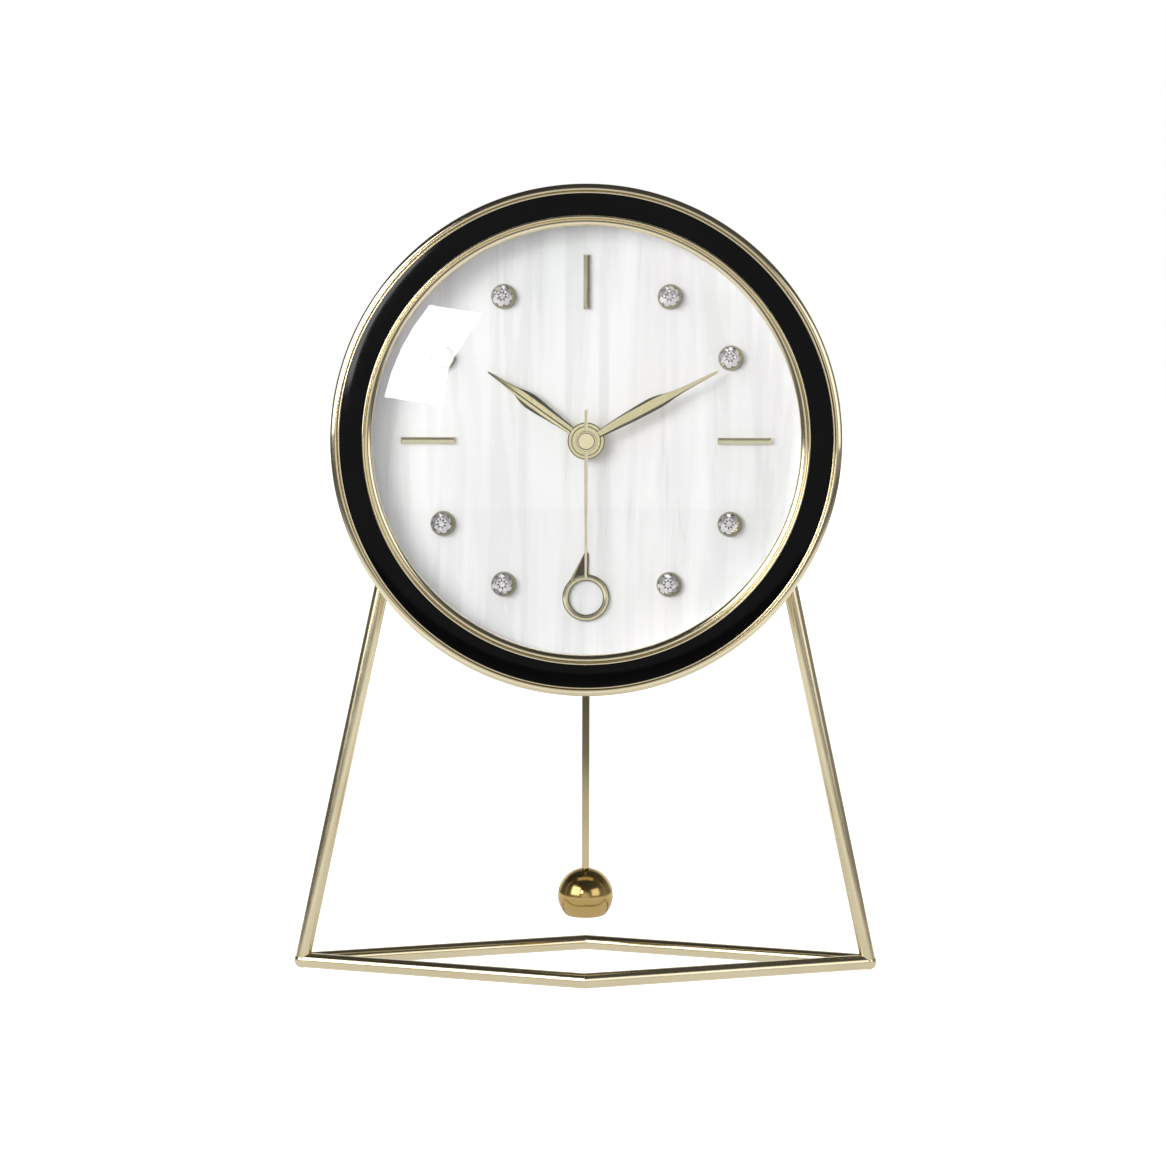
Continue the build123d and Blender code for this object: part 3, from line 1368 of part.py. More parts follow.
export_step(pendulum_hook.part, "parts/pendulum_hook.step")

# Pendulum rod, slotted at the top for the hook and seated in the bob
rod_top = head_z + hook_bottom + hook_grip
bob_socket_z = bob_centre_height + bob_radius - bob_socket_depth
with BuildPart() as pendulum_rod:
    with Locations((0, pendulum_depth, bob_socket_z)):
        Cylinder(pendulum_rod_radius, rod_top - bob_socket_z, align=(Align.CENTER, Align.CENTER, Align.MIN))
    add(pendulum_hook.part, mode=Mode.SUBTRACT)
pendulum_rod.part.label = "pendulum_rod"
export_step(pendulum_rod.part, "parts/pendulum_rod.step")

# Bob: a ball with a flat underside and a socket for the rod
with BuildPart() as pendulum_bob:
    with Locations((0, pendulum_depth, bob_centre_height)):
        Sphere(bob_radius)
    split(bisect_by=Plane.XY.offset(bob_centre_height - bob_flat_drop), keep=Keep.TOP)
    add(pendulum_rod.part, mode=Mode.SUBTRACT)
pendulum_bob.part.label = "pendulum_bob"
export_step(pendulum_bob.part, "parts/pendulum_bob.step")
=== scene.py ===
import math

import bmesh
import bpy
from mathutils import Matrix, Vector


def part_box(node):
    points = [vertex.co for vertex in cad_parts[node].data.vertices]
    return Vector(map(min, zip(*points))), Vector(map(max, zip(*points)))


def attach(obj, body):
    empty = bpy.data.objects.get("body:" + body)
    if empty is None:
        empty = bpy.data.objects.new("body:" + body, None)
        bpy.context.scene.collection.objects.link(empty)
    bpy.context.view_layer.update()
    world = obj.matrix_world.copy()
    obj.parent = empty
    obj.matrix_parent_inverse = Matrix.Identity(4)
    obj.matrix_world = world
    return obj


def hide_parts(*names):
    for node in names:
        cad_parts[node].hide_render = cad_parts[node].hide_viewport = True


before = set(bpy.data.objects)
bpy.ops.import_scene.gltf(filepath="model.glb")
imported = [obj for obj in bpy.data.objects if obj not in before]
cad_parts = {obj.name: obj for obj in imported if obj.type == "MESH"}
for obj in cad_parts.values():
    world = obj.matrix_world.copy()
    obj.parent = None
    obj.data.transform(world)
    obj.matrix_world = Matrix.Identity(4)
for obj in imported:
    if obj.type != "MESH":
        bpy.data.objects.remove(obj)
bpy.context.view_layer.update()

# Sizes and places on the object are in millimetres, those of the studio in metres.
# Depth is the place along Y, so it grows from the front to the back.
MM = 0.001
AXIS_HEIGHT = 190.5
AXIS_SPOT = (0.0, 0.0, AXIS_HEIGHT)
HEAD_CENTRE = (0.0, -0.02, AXIS_HEIGHT * MM)
GLASS_POLE = -25.2
DOME_RADIUS = 705.1
STAND_BODY = "stand_and_head"
WHITE = (1.0, 1.0, 1.0)
DARK = 1  # the material slot of facets painted dark as shade, and of stone facets painted grey as dark reflections


def added(name, data):
    """A new object in the scene."""
    thing = bpy.data.objects.new(name, data)
    bpy.context.scene.collection.objects.link(thing)
    return thing


def set_stops(elements, stops):
    """Fills a fresh colour ramp, which starts with two elements."""
    for element, (position, colour) in zip(elements, (stops[0], stops[-1])):
        element.position, element.color = position, (*colour, 1.0)
    for position, colour in stops[1:-1]:
        elements.new(position).color = (*colour, 1.0)


# ---------------------------------------------------------------- camera

PHOTO_WIDTH, PHOTO_HEIGHT = 1166, 1154
SENSOR_WIDTH = 36.0
FOCAL_LENGTH = 95.2
CAMERA_PLACE = (6.0, -1100.0, 218.2)
CAMERA_DOWN, CAMERA_ROLL, CAMERA_LEFT = 3.99, -0.13, 0.38  # degrees


def set_camera():
    """Stands where the photo was taken from."""
    data = bpy.data.cameras.new("photo_camera")
    data.lens = FOCAL_LENGTH
    data.sensor_width = SENSOR_WIDTH
    camera = added("photo_camera", data)
    camera.location = [value * MM for value in CAMERA_PLACE]
    turns = (90.0 - CAMERA_DOWN, CAMERA_ROLL, CAMERA_LEFT)
    camera.rotation_euler = [math.radians(turn) for turn in turns]
    bpy.context.scene.camera = camera
    return camera


camera = set_camera()


# ---------------------------------------------------------------- studio

# What the plating mirrors of the room. Each edge is a pair of values of the mirrored ray's
# direction, between which that part of the room fades in.
FRONT_GLOW, FRONT_EDGE = 0.78, (-0.90, -0.985)
WALL_EDGE = (0.55, 0.85)
ROOM_SHADE, SIDE_EDGE = 0.12, (-0.3, 0.9)
CEILING_SHARE, CEILING_EDGE = 0.35, (0.25, 0.6)

FLOOR_RADIUS = 14.0
FLOOR_GREY = 0.93
FLOOR_ROUGHNESS = 0.7
FLOOR_SHINE = 0.1
FLOOR_LIFT = 0.85  # light added for the camera, so that the floor fades into the backdrop

TABLE_RADIUS = 1.5
TABLE_DROP = 0.001
TABLE_LEVELS = ((0.12, 0.76), (0.26, 1.0), (0.38, 0.85), (0.65, 0.24), (1.0, 0.12))

SKY_STRENGTH = 1.0
SKY_SPREAD = 60.0  # degrees

# name: azimuth and elevation from the head in degrees, distance, width, height, radiance, and
# whether the plating mirrors the lamp. Those it doesn't mirror light the matt surfaces.
SOFTBOXES = {
    "left_box": (-45.0, 17.0, 1.3, 0.90, 0.80, 2.7, True),
    "right_box": (46.0, 11.0, 1.3, 0.80, 0.62, 1.25, True),
    "key": (-45.0, 17.0, 1.3, 0.62, 0.62, 11.0, False),
    "fill": (25.0, -5.0, 1.6, 1.8, 1.2, 0.25, False),
}

# The white patch in the glass, in pixels of the photo: five corners, then an arc round the
# middle of the dial, at angles in degrees above the level line to its left.
WINDOW_STRENGTH = 18.0
WINDOW_DISTANCE = 0.6
WINDOW_CORNERS = [(429.3, 305.1), (482.0, 313.5), (456.0, 354.6), (448.0, 370.0), (443.0, 406.0)]
WINDOW_ARC = (12.0, 19.0, 26.0, 33.0)
WINDOW_ARC_RADIUS = 208.0
DIAL_PIXEL = (588.0, 440.0)


def hide(thing, *kinds):
    """Hides a stage piece or a lamp from kinds of rays."""
    for kind in kinds:
        setattr(thing, "visible_" + kind, False)


def softbox(name, azimuth, elevation, distance, width, height, radiance, mirrored):
    """A soft lamp that faces the head: azimuth runs from the front towards the right."""
    across, up = math.radians(azimuth), math.radians(elevation)
    flat = math.cos(up)
    way = Vector((math.sin(across) * flat, -math.cos(across) * flat, math.sin(up)))
    data = bpy.data.lights.new(name, "AREA")
    data.shape = "RECTANGLE"
    data.size = width
    data.size_y = height
    data.energy = radiance * math.pi * width * height
    lamp = added(name, data)
    lamp.location = Vector(HEAD_CENTRE) + distance * way
    lamp.rotation_euler = (Vector(HEAD_CENTRE) - lamp.location).to_track_quat("-Z", "Y").to_euler()
    hide(lamp, "camera", *(("diffuse", "transmission") if mirrored else ("glossy",)))


def set_sky():
    """Even light from above for the floor, without a mirror image in the plating."""
    data = bpy.data.lights.new("sky", "SUN")
    data.energy = SKY_STRENGTH
    data.angle = math.radians(SKY_SPREAD)
    hide(added("sky", data), "glossy", "camera")


def seen_in_glass(px, py):
    """Where a light stands that the camera sees mirrored in the dome at that pixel of the photo."""
    turn = camera.rotation_euler.to_matrix()
    scale = SENSOR_WIDTH / FOCAL_LENGTH / PHOTO_WIDTH
    across = (px - PHOTO_WIDTH / 2) * scale
    up = (PHOTO_HEIGHT / 2 - py) * scale
    ray = (turn @ Vector((across, up, -1.0))).normalized()
    radius = DOME_RADIUS * MM
    middle = Vector((0.0, GLASS_POLE * MM + radius, AXIS_HEIGHT * MM))
    back = camera.location - middle
    half = back.dot(ray)
    along = -half - math.sqrt(half * half - back.length_squared + radius ** 2)
    spot = camera.location + ray * along
    normal = (spot - middle).normalized()
    bounce = ray - 2.0 * ray.dot(normal) * normal
    return spot + bounce * (WINDOW_DISTANCE / abs(bounce.y))


def set_window():
    """A flat panel of light that shows only as a reflection."""
    pixels = list(WINDOW_CORNERS)
    for degrees in WINDOW_ARC:
        angle = math.radians(degrees)
        pixels.append((
            DIAL_PIXEL[0] - WINDOW_ARC_RADIUS * math.cos(angle),
            DIAL_PIXEL[1] - WINDOW_ARC_RADIUS * math.sin(angle),
        ))
    corners = [tuple(seen_in_glass(px, py)) for px, py in pixels]
    mesh = bpy.data.meshes.new("window")
    mesh.from_pydata(corners, [], [tuple(range(len(corners)))])
    panel = added("window", mesh)
    glow = bpy.data.materials.new("window")
    glow.use_nodes = True
    nodes = glow.node_tree.nodes
    nodes.clear()
    emission = nodes.new("ShaderNodeEmission")
    emission.inputs["Color"].default_value = (*WHITE, 1.0)
    emission.inputs["Strength"].default_value = WINDOW_STRENGTH
    output = nodes.new("ShaderNodeOutputMaterial")
    glow.node_tree.links.new(emission.outputs[0], output.inputs["Surface"])
    mesh.materials.append(glow)
    hide(panel, "camera", "shadow", "diffuse", "transmission")


def set_world():
    """A dark room for the plating to mirror: a glow round the camera, a white wall behind the
    clock. The camera itself sees plain white."""
    world = bpy.data.worlds.new("studio")
    bpy.context.scene.world = world
    world.use_nodes = True
    nodes, links = world.node_tree.nodes, world.node_tree.links
    nodes.clear()

    def combined(operation, first, second):
        node = nodes.new("ShaderNodeMath")
        node.operation = operation
        links.new(first, node.inputs[0])
        links.new(second, node.inputs[1])
        return node.outputs[0]

    def fade(value, edge, low, high):
        node = nodes.new("ShaderNodeMapRange")
        node.interpolation_type = "SMOOTHSTEP"
        for name, number in zip(("From Min", "From Max", "To Min", "To Max"), (*edge, low, high)):
            node.inputs[name].default_value = number
        links.new(value, node.inputs["Value"])
        return node.outputs[0]

    place = nodes.new("ShaderNodeTexCoord")
    split = nodes.new("ShaderNodeSeparateXYZ")
    links.new(place.outputs["Generated"], split.inputs[0])
    glow = fade(split.outputs["Y"], FRONT_EDGE, 0.0, FRONT_GLOW)
    wall = fade(split.outputs["Y"], WALL_EDGE, 0.0, 1.0)
    side = fade(split.outputs["X"], SIDE_EDGE, ROOM_SHADE, 2.0 * ROOM_SHADE)
    ceiling = fade(split.outputs["Z"], CEILING_EDGE, 1.0, CEILING_SHARE)
    walls = combined("MAXIMUM", combined("MAXIMUM", glow, wall), side)
    room = combined("MULTIPLY", walls, ceiling)
    path = nodes.new("ShaderNodeLightPath")
    background = nodes.new("ShaderNodeBackground")
    background.inputs["Color"].default_value = (*WHITE, 1.0)
    strength = combined("MAXIMUM", room, path.outputs["Is Camera Ray"])
    links.new(strength, background.inputs["Strength"])
    output = nodes.new("ShaderNodeOutputWorld")
    links.new(background.outputs[0], output.inputs["Surface"])


def flat_disc(name, radius):
    """A round stage piece on the ground and the nodes of its new material."""
    mesh = bmesh.new()
    bmesh.ops.create_circle(mesh, cap_ends=True, segments=96, radius=radius)
    data = bpy.data.meshes.new(name)
    mesh.to_mesh(data)
    mesh.free()
    pale = bpy.data.materials.new(name)
    pale.use_nodes = True
    data.materials.append(pale)
    disc = added(name, data)
    return disc, pale.node_tree


def set_floor():
    """The pale floor that the camera sees and the plating doesn't."""
    floor, tree = flat_disc("floor", FLOOR_RADIUS)
    shader = tree.nodes["Principled BSDF"]
    shader.inputs["Base Color"].default_value = (FLOOR_GREY, FLOOR_GREY, FLOOR_GREY, 1.0)
    shader.inputs["Roughness"].default_value = FLOOR_ROUGHNESS
    shader.inputs["Specular IOR Level"].default_value = FLOOR_SHINE
    shader.inputs["Emission Color"].default_value = (*WHITE, 1.0)
    path = tree.nodes.new("ShaderNodeLightPath")
    lift = tree.nodes.new("ShaderNodeMath")
    lift.operation = "MULTIPLY"
    lift.inputs[1].default_value = FLOOR_LIFT
    tree.links.new(path.outputs["Is Camera Ray"], lift.inputs[0])
    tree.links.new(lift.outputs[0], shader.inputs["Emission Strength"])
    hide(floor, "glossy", "diffuse")


def set_table():
    """What the plating mirrors below it: a lit patch of table that fades outward."""
    table, tree = flat_disc("table", TABLE_RADIUS)
    table.location.z = -TABLE_DROP
    nodes, links = tree.nodes, tree.links
    nodes.clear()
    place = nodes.new("ShaderNodeTexCoord")
    length = nodes.new("ShaderNodeVectorMath")
    length.operation = "LENGTH"
    links.new(place.outputs["Object"], length.inputs[0])
    fade = nodes.new("ShaderNodeValToRGB")
    fade.color_ramp.interpolation = "EASE"
    stops = [(reach, (level, level, level)) for reach, level in TABLE_LEVELS]
    set_stops(fade.color_ramp.elements, stops)
    links.new(length.outputs["Value"], fade.inputs[0])
    emission = nodes.new("ShaderNodeEmission")
    links.new(fade.outputs[0], emission.inputs["Strength"])
    output = nodes.new("ShaderNodeOutputMaterial")
    links.new(emission.outputs[0], output.inputs["Surface"])
    hide(table, "camera", "diffuse", "shadow", "transmission")


def set_studio():
    set_world()
    set_floor()
    set_table()
    set_sky()
    for name, values in SOFTBOXES.items():
        softbox(name, *values)
    set_window()


set_studio()
bpy.context.scene.view_settings.view_transform = "Standard"


# ---------------------------------------------------------------- materials

class Tree:
    """The nodes of one material, with short names for what most materials use."""

    def __init__(self, name):
        self.material = bpy.data.materials.new(name)
        self.material.use_nodes = True
        self.nodes = self.material.node_tree.nodes
        self.links = self.material.node_tree.links
        self.shader = self.nodes["Principled BSDF"]
        self.place = self.nodes.new("ShaderNodeTexCoord").outputs["Object"]

    def join(self, source, socket):
        self.links.new(source, socket)

    def shade(self, source, socket):
        """Joins a source to a socket of the surface's shader."""
        self.join(source, self.shader.inputs[socket])

    def mapped(self, stretch, turn=(0.0, 0.0, 0.0)):
        node = self.nodes.new("ShaderNodeMapping")
        node.inputs["Rotation"].default_value = turn
        node.inputs["Scale"].default_value = stretch
        self.join(self.place, node.inputs["Vector"])
        return node.outputs[0]

    def noise(self, scale, detail=3.0, vector=None, distortion=0.0):
        node = self.nodes.new("ShaderNodeTexNoise")
        node.inputs["Scale"].default_value = scale
        node.inputs["Detail"].default_value = detail
        node.inputs["Distortion"].default_value = distortion
        self.join(vector if vector else self.place, node.inputs["Vector"])
        return node.outputs["Fac"]

    def ramp(self, factor, stops, interpolation="LINEAR"):
        node = self.nodes.new("ShaderNodeValToRGB")
        node.color_ramp.interpolation = interpolation
        set_stops(node.color_ramp.elements, stops)
        self.join(factor, node.inputs[0])
        return node.outputs[0]

    def mix(self, factor, first, second, blend="MIX"):
        node = self.nodes.new("ShaderNodeMix")
        node.data_type = "RGBA"
        node.blend_type = blend
        values = (factor, first, second)
        for socket, value in zip((node.inputs[0], node.inputs[6], node.inputs[7]), values):
            if isinstance(value, tuple):
                socket.default_value = (*value, 1.0)
            elif isinstance(value, float):
                socket.default_value = value
            else:
                self.join(value, socket)
        return node.outputs[2]

    def span(self, factor, low, high, start=0.3, end=0.7):
        """The factor from start to end, spread over low to high."""
        node = self.nodes.new("ShaderNodeMapRange")
        node.inputs["From Min"].default_value = start
        node.inputs["From Max"].default_value = end
        node.inputs["To Min"].default_value = low
        node.inputs["To Max"].default_value = high
        self.join(factor, node.inputs["Value"])
        return node.outputs[0]

    def bump(self, height, strength, distance):
        node = self.nodes.new("ShaderNodeBump")
        node.inputs["Strength"].default_value = strength
        node.inputs["Distance"].default_value = distance
        self.join(height, node.inputs["Height"])
        self.shade(node.outputs[0], "Normal")

    def set(self, **sockets):
        for name, value in sockets.items():
            self.shader.inputs[name.replace("_", " ")].default_value = value


def surface(
    name, tints, rough, grain=60.0, stretch=(1.0, 1.0, 1.0), fine=900.0, strength=0.05,
    depth=0.00002, **sockets,
):
    """Two tints mixed by a soft noise, and roughness and bump that follow a finer one."""
    tree = Tree(name)
    soft = tree.noise(grain)
    tree.shade(tree.ramp(soft, [(0.3, tints[0]), (0.7, tints[1])]), "Base Color")
    lines = tree.noise(fine, 2.0, tree.mapped(stretch))
    tree.shade(tree.span(lines, rough[0], rough[1]), "Roughness")
    tree.bump(lines, strength, depth)
    tree.set(**sockets)
    return tree.material


def gold(name, dark, light, rough, strength):
    return surface(
        name, (dark, light), rough, grain=25.0, stretch=(1.0, 1.0, 0.25), fine=420.0,
        strength=strength, Metallic=1.0,
    )


def pearl_material():
    """Upright streaks in three widths, stretched along Z by the mapping."""
    tree = Tree("mother_of_pearl")
    waves = tree.noise(14.0, 3.0, tree.mapped((1.0, 1.0, 0.35)), 0.4)
    broad = tree.noise(34.0, 4.0, tree.mapped((1.0, 1.0, 0.13), (0.0, 0.10, 0.0)), 0.5)
    thin = tree.noise(120.0, 6.0, tree.mapped((1.0, 1.0, 0.07), (0.0, 0.05, 0.0)), 0.8)
    base = tree.ramp(broad, [
        (0.30, (0.690, 0.688, 0.690)), (0.50, (0.738, 0.733, 0.735)), (0.66, (0.765, 0.762, 0.760)),
    ])
    streaks = tree.ramp(thin, [
        (0.34, (0.93, 0.93, 0.93)), (0.50, (0.99, 0.99, 0.99)), (0.60, (1.07, 1.07, 1.07)),
    ])
    grey = tree.mix(0.8, base, streaks, "MULTIPLY")
    tint = tree.ramp(waves, [
        (0.34, (0.985, 1.0, 0.99)), (0.48, WHITE), (0.62, (1.0, 0.98, 0.985)),
    ], "EASE")
    tree.shade(tree.mix(1.0, grey, tint, "MULTIPLY"), "Base Color")
    tree.shade(tree.span(thin, 0.22, 0.38), "Roughness")
    tree.bump(thin, 0.05, 0.00005)
    tree.set(IOR=1.53)
    return tree.material


def glass_material():
    """Clear glass with a slight smear, which lets light and shadow through to the dial."""
    tree = Tree("domed_glass")
    smear = tree.noise(30.0, 4.0)
    tree.shade(tree.span(smear, 0.0, 0.012), "Roughness")
    tree.shade(tree.ramp(smear, [(0.3, (0.985, 0.995, 0.99)), (0.7, WHITE)]), "Base Color")
    tree.set(Transmission_Weight=1.0, IOR=1.5)
    path = tree.nodes.new("ShaderNodeLightPath")
    clear = tree.nodes.new("ShaderNodeBsdfTransparent")
    mix = tree.nodes.new("ShaderNodeMixShader")
    tree.join(path.outputs["Is Shadow Ray"], mix.inputs[0])
    tree.join(tree.shader.outputs[0], mix.inputs[1])
    tree.join(clear.outputs[0], mix.inputs[2])
    tree.join(mix.outputs[0], tree.nodes["Material Output"].inputs["Surface"])
    return tree.material


def copper_material():
    """Turns of enamelled wire, side by side along X."""
    tree = Tree("enamelled_wire")
    turns = tree.nodes.new("ShaderNodeTexWave")
    turns.bands_direction = "X"
    turns.inputs["Scale"].default_value = 2400.0
    turns.inputs["Distortion"].default_value = 0.6
    tree.join(tree.place, turns.inputs["Vector"])
    height = turns.outputs["Fac"]
    copper = tree.ramp(height, [(0.0, (0.30, 0.10, 0.04)), (1.0, (0.80, 0.37, 0.18))])
    tree.shade(copper, "Base Color")
    tree.shade(tree.span(height, 0.38, 0.22, 0.0, 1.0), "Roughness")
    tree.bump(height, 0.6, 0.00006)
    tree.set(Metallic=1.0)
    return tree.material


def battery_material():
    """A steel end, a black wrap, a copper band and a steel end, along the cell's length."""
    tree = Tree("battery_wrap")
    split = tree.nodes.new("ShaderNodeSeparateXYZ")
    tree.join(tree.place, split.inputs[0])
    low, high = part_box("battery_cell")
    along = tree.span(split.outputs["X"], 0.0, 1.0, low.x, high.x)
    fine = tree.noise(500.0, 2.0)
    steel, half_metal = (0.62, 0.62, 0.63), (0.35, 0.35, 0.35)
    bands = tree.ramp(along, [
        (0.0, steel), (0.02, (0.012, 0.012, 0.014)), (0.70, (0.55, 0.30, 0.10)), (0.955, steel),
    ], "CONSTANT")
    tree.shade(tree.mix(fine, bands, tree.mix(0.985, WHITE, bands)), "Base Color")
    metal = tree.ramp(along, [(0.0, WHITE), (0.02, half_metal), (0.955, WHITE)], "CONSTANT")
    tree.shade(metal, "Metallic")
    tree.shade(tree.span(fine, 0.24, 0.36), "Roughness")
    tree.bump(fine, 0.04, 0.00002)
    return tree.material


def board_material():
    """Green lacquer over a net of printed lines."""
    tree = Tree("printed_board")
    brick = tree.nodes.new("ShaderNodeTexBrick")
    brick.inputs["Color1"].default_value = (0.015, 0.10, 0.045, 1.0)
    brick.inputs["Color2"].default_value = (0.020, 0.13, 0.055, 1.0)
    brick.inputs["Mortar"].default_value = (0.06, 0.22, 0.10, 1.0)
    brick.inputs["Scale"].default_value = 420.0
    brick.inputs["Mortar Size"].default_value = 0.03
    upright = (math.radians(90.0), 0.0, 0.0)
    tree.join(tree.mapped((1.0, 1.0, 1.0), upright), brick.inputs["Vector"])
    tree.shade(brick.outputs["Color"], "Base Color")
    tree.shade(tree.span(tree.noise(700.0, 2.0), 0.28, 0.42), "Roughness")
    tree.bump(brick.outputs["Fac"], 0.3, 0.00003)
    return tree.material


# Golds: two tints, the range of roughness and the strength of the grain
GOLDS = {
    "champagne_gold": ((0.79, 0.70, 0.48), (0.85, 0.76, 0.54), (0.07, 0.13), 0.004),
    "facet_gold": ((0.72, 0.65, 0.36), (0.82, 0.74, 0.43), (0.20, 0.28), 0.01),
    "sweep_gold": ((0.86, 0.74, 0.56), (0.92, 0.81, 0.64), (0.20, 0.28), 0.01),
    "numeral_gold": ((0.74, 0.66, 0.41), (0.82, 0.74, 0.48), (0.18, 0.26), 0.01),
    # A dark copy of the facet gold: painted shade on facets, walls, bevels and grooves
    "painted_shade_gold": ((0.055, 0.046, 0.022), (0.095, 0.078, 0.04), (0.22, 0.30), 0.01),
    "stand_gold": ((0.77, 0.67, 0.44), (0.84, 0.74, 0.51), (0.16, 0.24), 0.015),
    "base_gold": ((0.77, 0.67, 0.44), (0.84, 0.74, 0.51), (0.15, 0.20), 0.004),
    "cap_gold": ((0.84, 0.75, 0.47), (0.90, 0.81, 0.53), (0.20, 0.28), 0.01),
    "bar_gold": ((0.75, 0.69, 0.47), (0.83, 0.77, 0.55), (0.20, 0.28), 0.01),
    # A dark copy of the bar gold: painted shade on one slope of each bar
    "painted_shade_bar_gold": ((0.20, 0.17, 0.09), (0.28, 0.24, 0.13), (0.20, 0.28), 0.01),
    "bob_gold": ((0.56, 0.40, 0.15), (0.62, 0.45, 0.18), (0.13, 0.20), 0.02),
    "pendulum_gold": ((0.52, 0.44, 0.27), (0.60, 0.51, 0.32), (0.05, 0.09), 0.01),
}
golds = {name: gold(name, *values) for name, values in GOLDS.items()}

# The materials by the names that they have in the CAD
materials = {
    "gold_plating": golds["champagne_gold"],
    "black_lacquer": surface(
        "gloss_black", ((0.002, 0.002, 0.0024), (0.0035, 0.003, 0.0035)), (0.05, 0.09),
        fine=260.0, strength=0.015, IOR=1.2,
    ),
    "glass": glass_material(),
    "pearl": pearl_material(),
    "crystal": surface(
        "foiled_crystal", ((0.80, 0.77, 0.79), (0.92, 0.88, 0.89)), (0.03, 0.08),
        strength=0.01, Metallic=0.9, Coat_Weight=1.0, Coat_Roughness=0.02, Coat_IOR=1.6,
    ),
    "white_plastic": surface(
        "white_moulding", ((0.80, 0.80, 0.80), (0.84, 0.84, 0.84)), (0.35, 0.45),
    ),
    "black_plastic": surface(
        "black_moulding", ((0.016, 0.016, 0.017), (0.024, 0.024, 0.025)), (0.42, 0.58),
        fine=2200.0, strength=0.25, depth=0.00003,
    ),
    "natural_plastic": surface(
        "natural_moulding", ((0.76, 0.75, 0.71), (0.82, 0.81, 0.78)), (0.28, 0.4),
        Subsurface_Weight=0.15, Subsurface_Scale=0.001,
    ),
    "ivory_plastic": surface(
        "ivory_moulding", ((0.74, 0.66, 0.47), (0.80, 0.73, 0.54)), (0.28, 0.4),
        Subsurface_Weight=0.15, Subsurface_Scale=0.001,
    ),
    "brass": surface(
        "turned_brass", ((0.72, 0.50, 0.20), (0.80, 0.58, 0.26)), (0.18, 0.30),
        stretch=(1.0, 8.0, 1.0), Metallic=1.0,
    ),
    "steel": surface(
        "bright_steel", ((0.50, 0.50, 0.51), (0.60, 0.60, 0.61)), (0.20, 0.32),
        stretch=(1.0, 1.0, 6.0), Metallic=1.0,
    ),
    "dial_aluminium": surface(
        "rolled_aluminium", ((0.72, 0.72, 0.73), (0.80, 0.80, 0.81)), (0.30, 0.42),
        stretch=(8.0, 1.0, 0.3), Metallic=1.0,
    ),
    "copper_wire": copper_material(),
    "magnet": surface(
        "sintered_magnet", ((0.20, 0.20, 0.21), (0.28, 0.28, 0.29)), (0.30, 0.5), Metallic=0.8,
    ),
    "rubber": surface(
        "soft_rubber", ((0.014, 0.014, 0.014), (0.024, 0.024, 0.024)), (0.7, 0.9), strength=0.3,
    ),
    "circuit_board": board_material(),
    "battery_jacket": battery_material(),
}

# Nodes with a gold of their own, by how their names start
OWN_GOLDS = {"leg_": "stand_gold", "base_rod": "base_gold", "pendulum_rod": "pendulum_gold"}


def dress_nodes():
    for name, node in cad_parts.items():
        own = [golds[kind] for start, kind in OWN_GOLDS.items() if name.startswith(start)]
        for held in node.material_slots:
            held.material = own[0] if own else materials[held.material.name.split(".")[0]]


dress_nodes()


# ---------------------------------------------------------------- how pieces are made

RING_CREASE = 35.0  # degrees


def arc(centre, size, turn, steps):
    """Points (radius, depth) on part of an ellipse, from one angle in degrees to another.
    Angle 0 points to the front and 90 points outward."""
    start, end = turn
    points = []
    for step in range(steps + 1):
        angle = math.radians(start + (end - start) * step / steps)
        radius = centre[0] + size[0] * math.sin(angle)
        points.append((radius, centre[1] - size[1] * math.cos(angle)))
    return points


def lathe(mesh, profile, spot, upright=False, steps=360):
    """Turns a closed profile of (radius, along) in millimetres round an axis through the spot:
    the axis of the head, or with upright a vertical one."""
    rows = []
    for radius, along in profile:
        row = []
        for step in range(steps):
            angle = 2.0 * math.pi * step / steps
            across, up = radius * math.cos(angle), radius * math.sin(angle)
            place = Vector((across, up, along)) if upright else Vector((across, along, up))
            row.append(mesh.verts.new((place + Vector(spot)) * MM))
        rows.append(row)
    for here, there in zip(rows, rows[1:] + rows[:1]):
        for step in range(steps):
            after = (step + 1) % steps
            mesh.faces.new((here[step], here[after], there[after], there[step]))


def faceted(mesh, points, faces, mark=0):
    """Adds flat facets over points in millimetres, in the material slot of the mark."""
    corners = [mesh.verts.new(Vector(point) * MM) for point in points]
    for face in faces:
        mesh.faces.new([corners[index] for index in face]).material_index = mark


def finished(name, mesh, node, body, dress, crease=RING_CREASE):
    """Turns a bmesh into a piece that stands for a CAD node: smooth, with edges sharp above the
    crease angle, and with the materials in dress as its slots."""
    bmesh.ops.recalc_face_normals(mesh, faces=mesh.faces)
    for face in mesh.faces:
        face.smooth = True
    for edge in mesh.edges:
        edge.smooth = len(edge.link_faces) == 2 and edge.calc_face_angle() < math.radians(crease)
    data = bpy.data.meshes.new(name)
    mesh.to_mesh(data)
    mesh.free()
    for material in dress:
        data.materials.append(material)
    piece = added(name, data)
    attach(piece, body)
    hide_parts(node)


def turned(name, profile, node, material):
    """A ring of the head."""
    mesh = bmesh.new()
    lathe(mesh, profile, AXIS_SPOT)
    finished(name, mesh, node, STAND_BODY, [material])


# ---------------------------------------------------------------- rings of the head

# The rings' plain walls, as (radius, depth)
BEZEL_BACK = [
    (89.5, -14.8), (89.2, -14.5), (87.55, -14.5), (87.55, -19.5), (78.6, -19.5), (78.6, -21.1),
    (86.1, -21.1), (86.1, -23.0),
]
BEZEL_GROOVE = [(87.05, -22.75), (87.15, -23.3), (87.25, -23.6)]
BAND_BACK = [(78.6, -21.1), (86.05, -21.1)]
RIM_STEP = [(77.5, -22.8), (77.3, -23.1)]
RIM_BACK = [
    (75.0, -21.2), (77.2, -21.2), (77.2, -18.3), (80.5, -18.3), (80.5, -19.5), (78.5, -19.5),
]

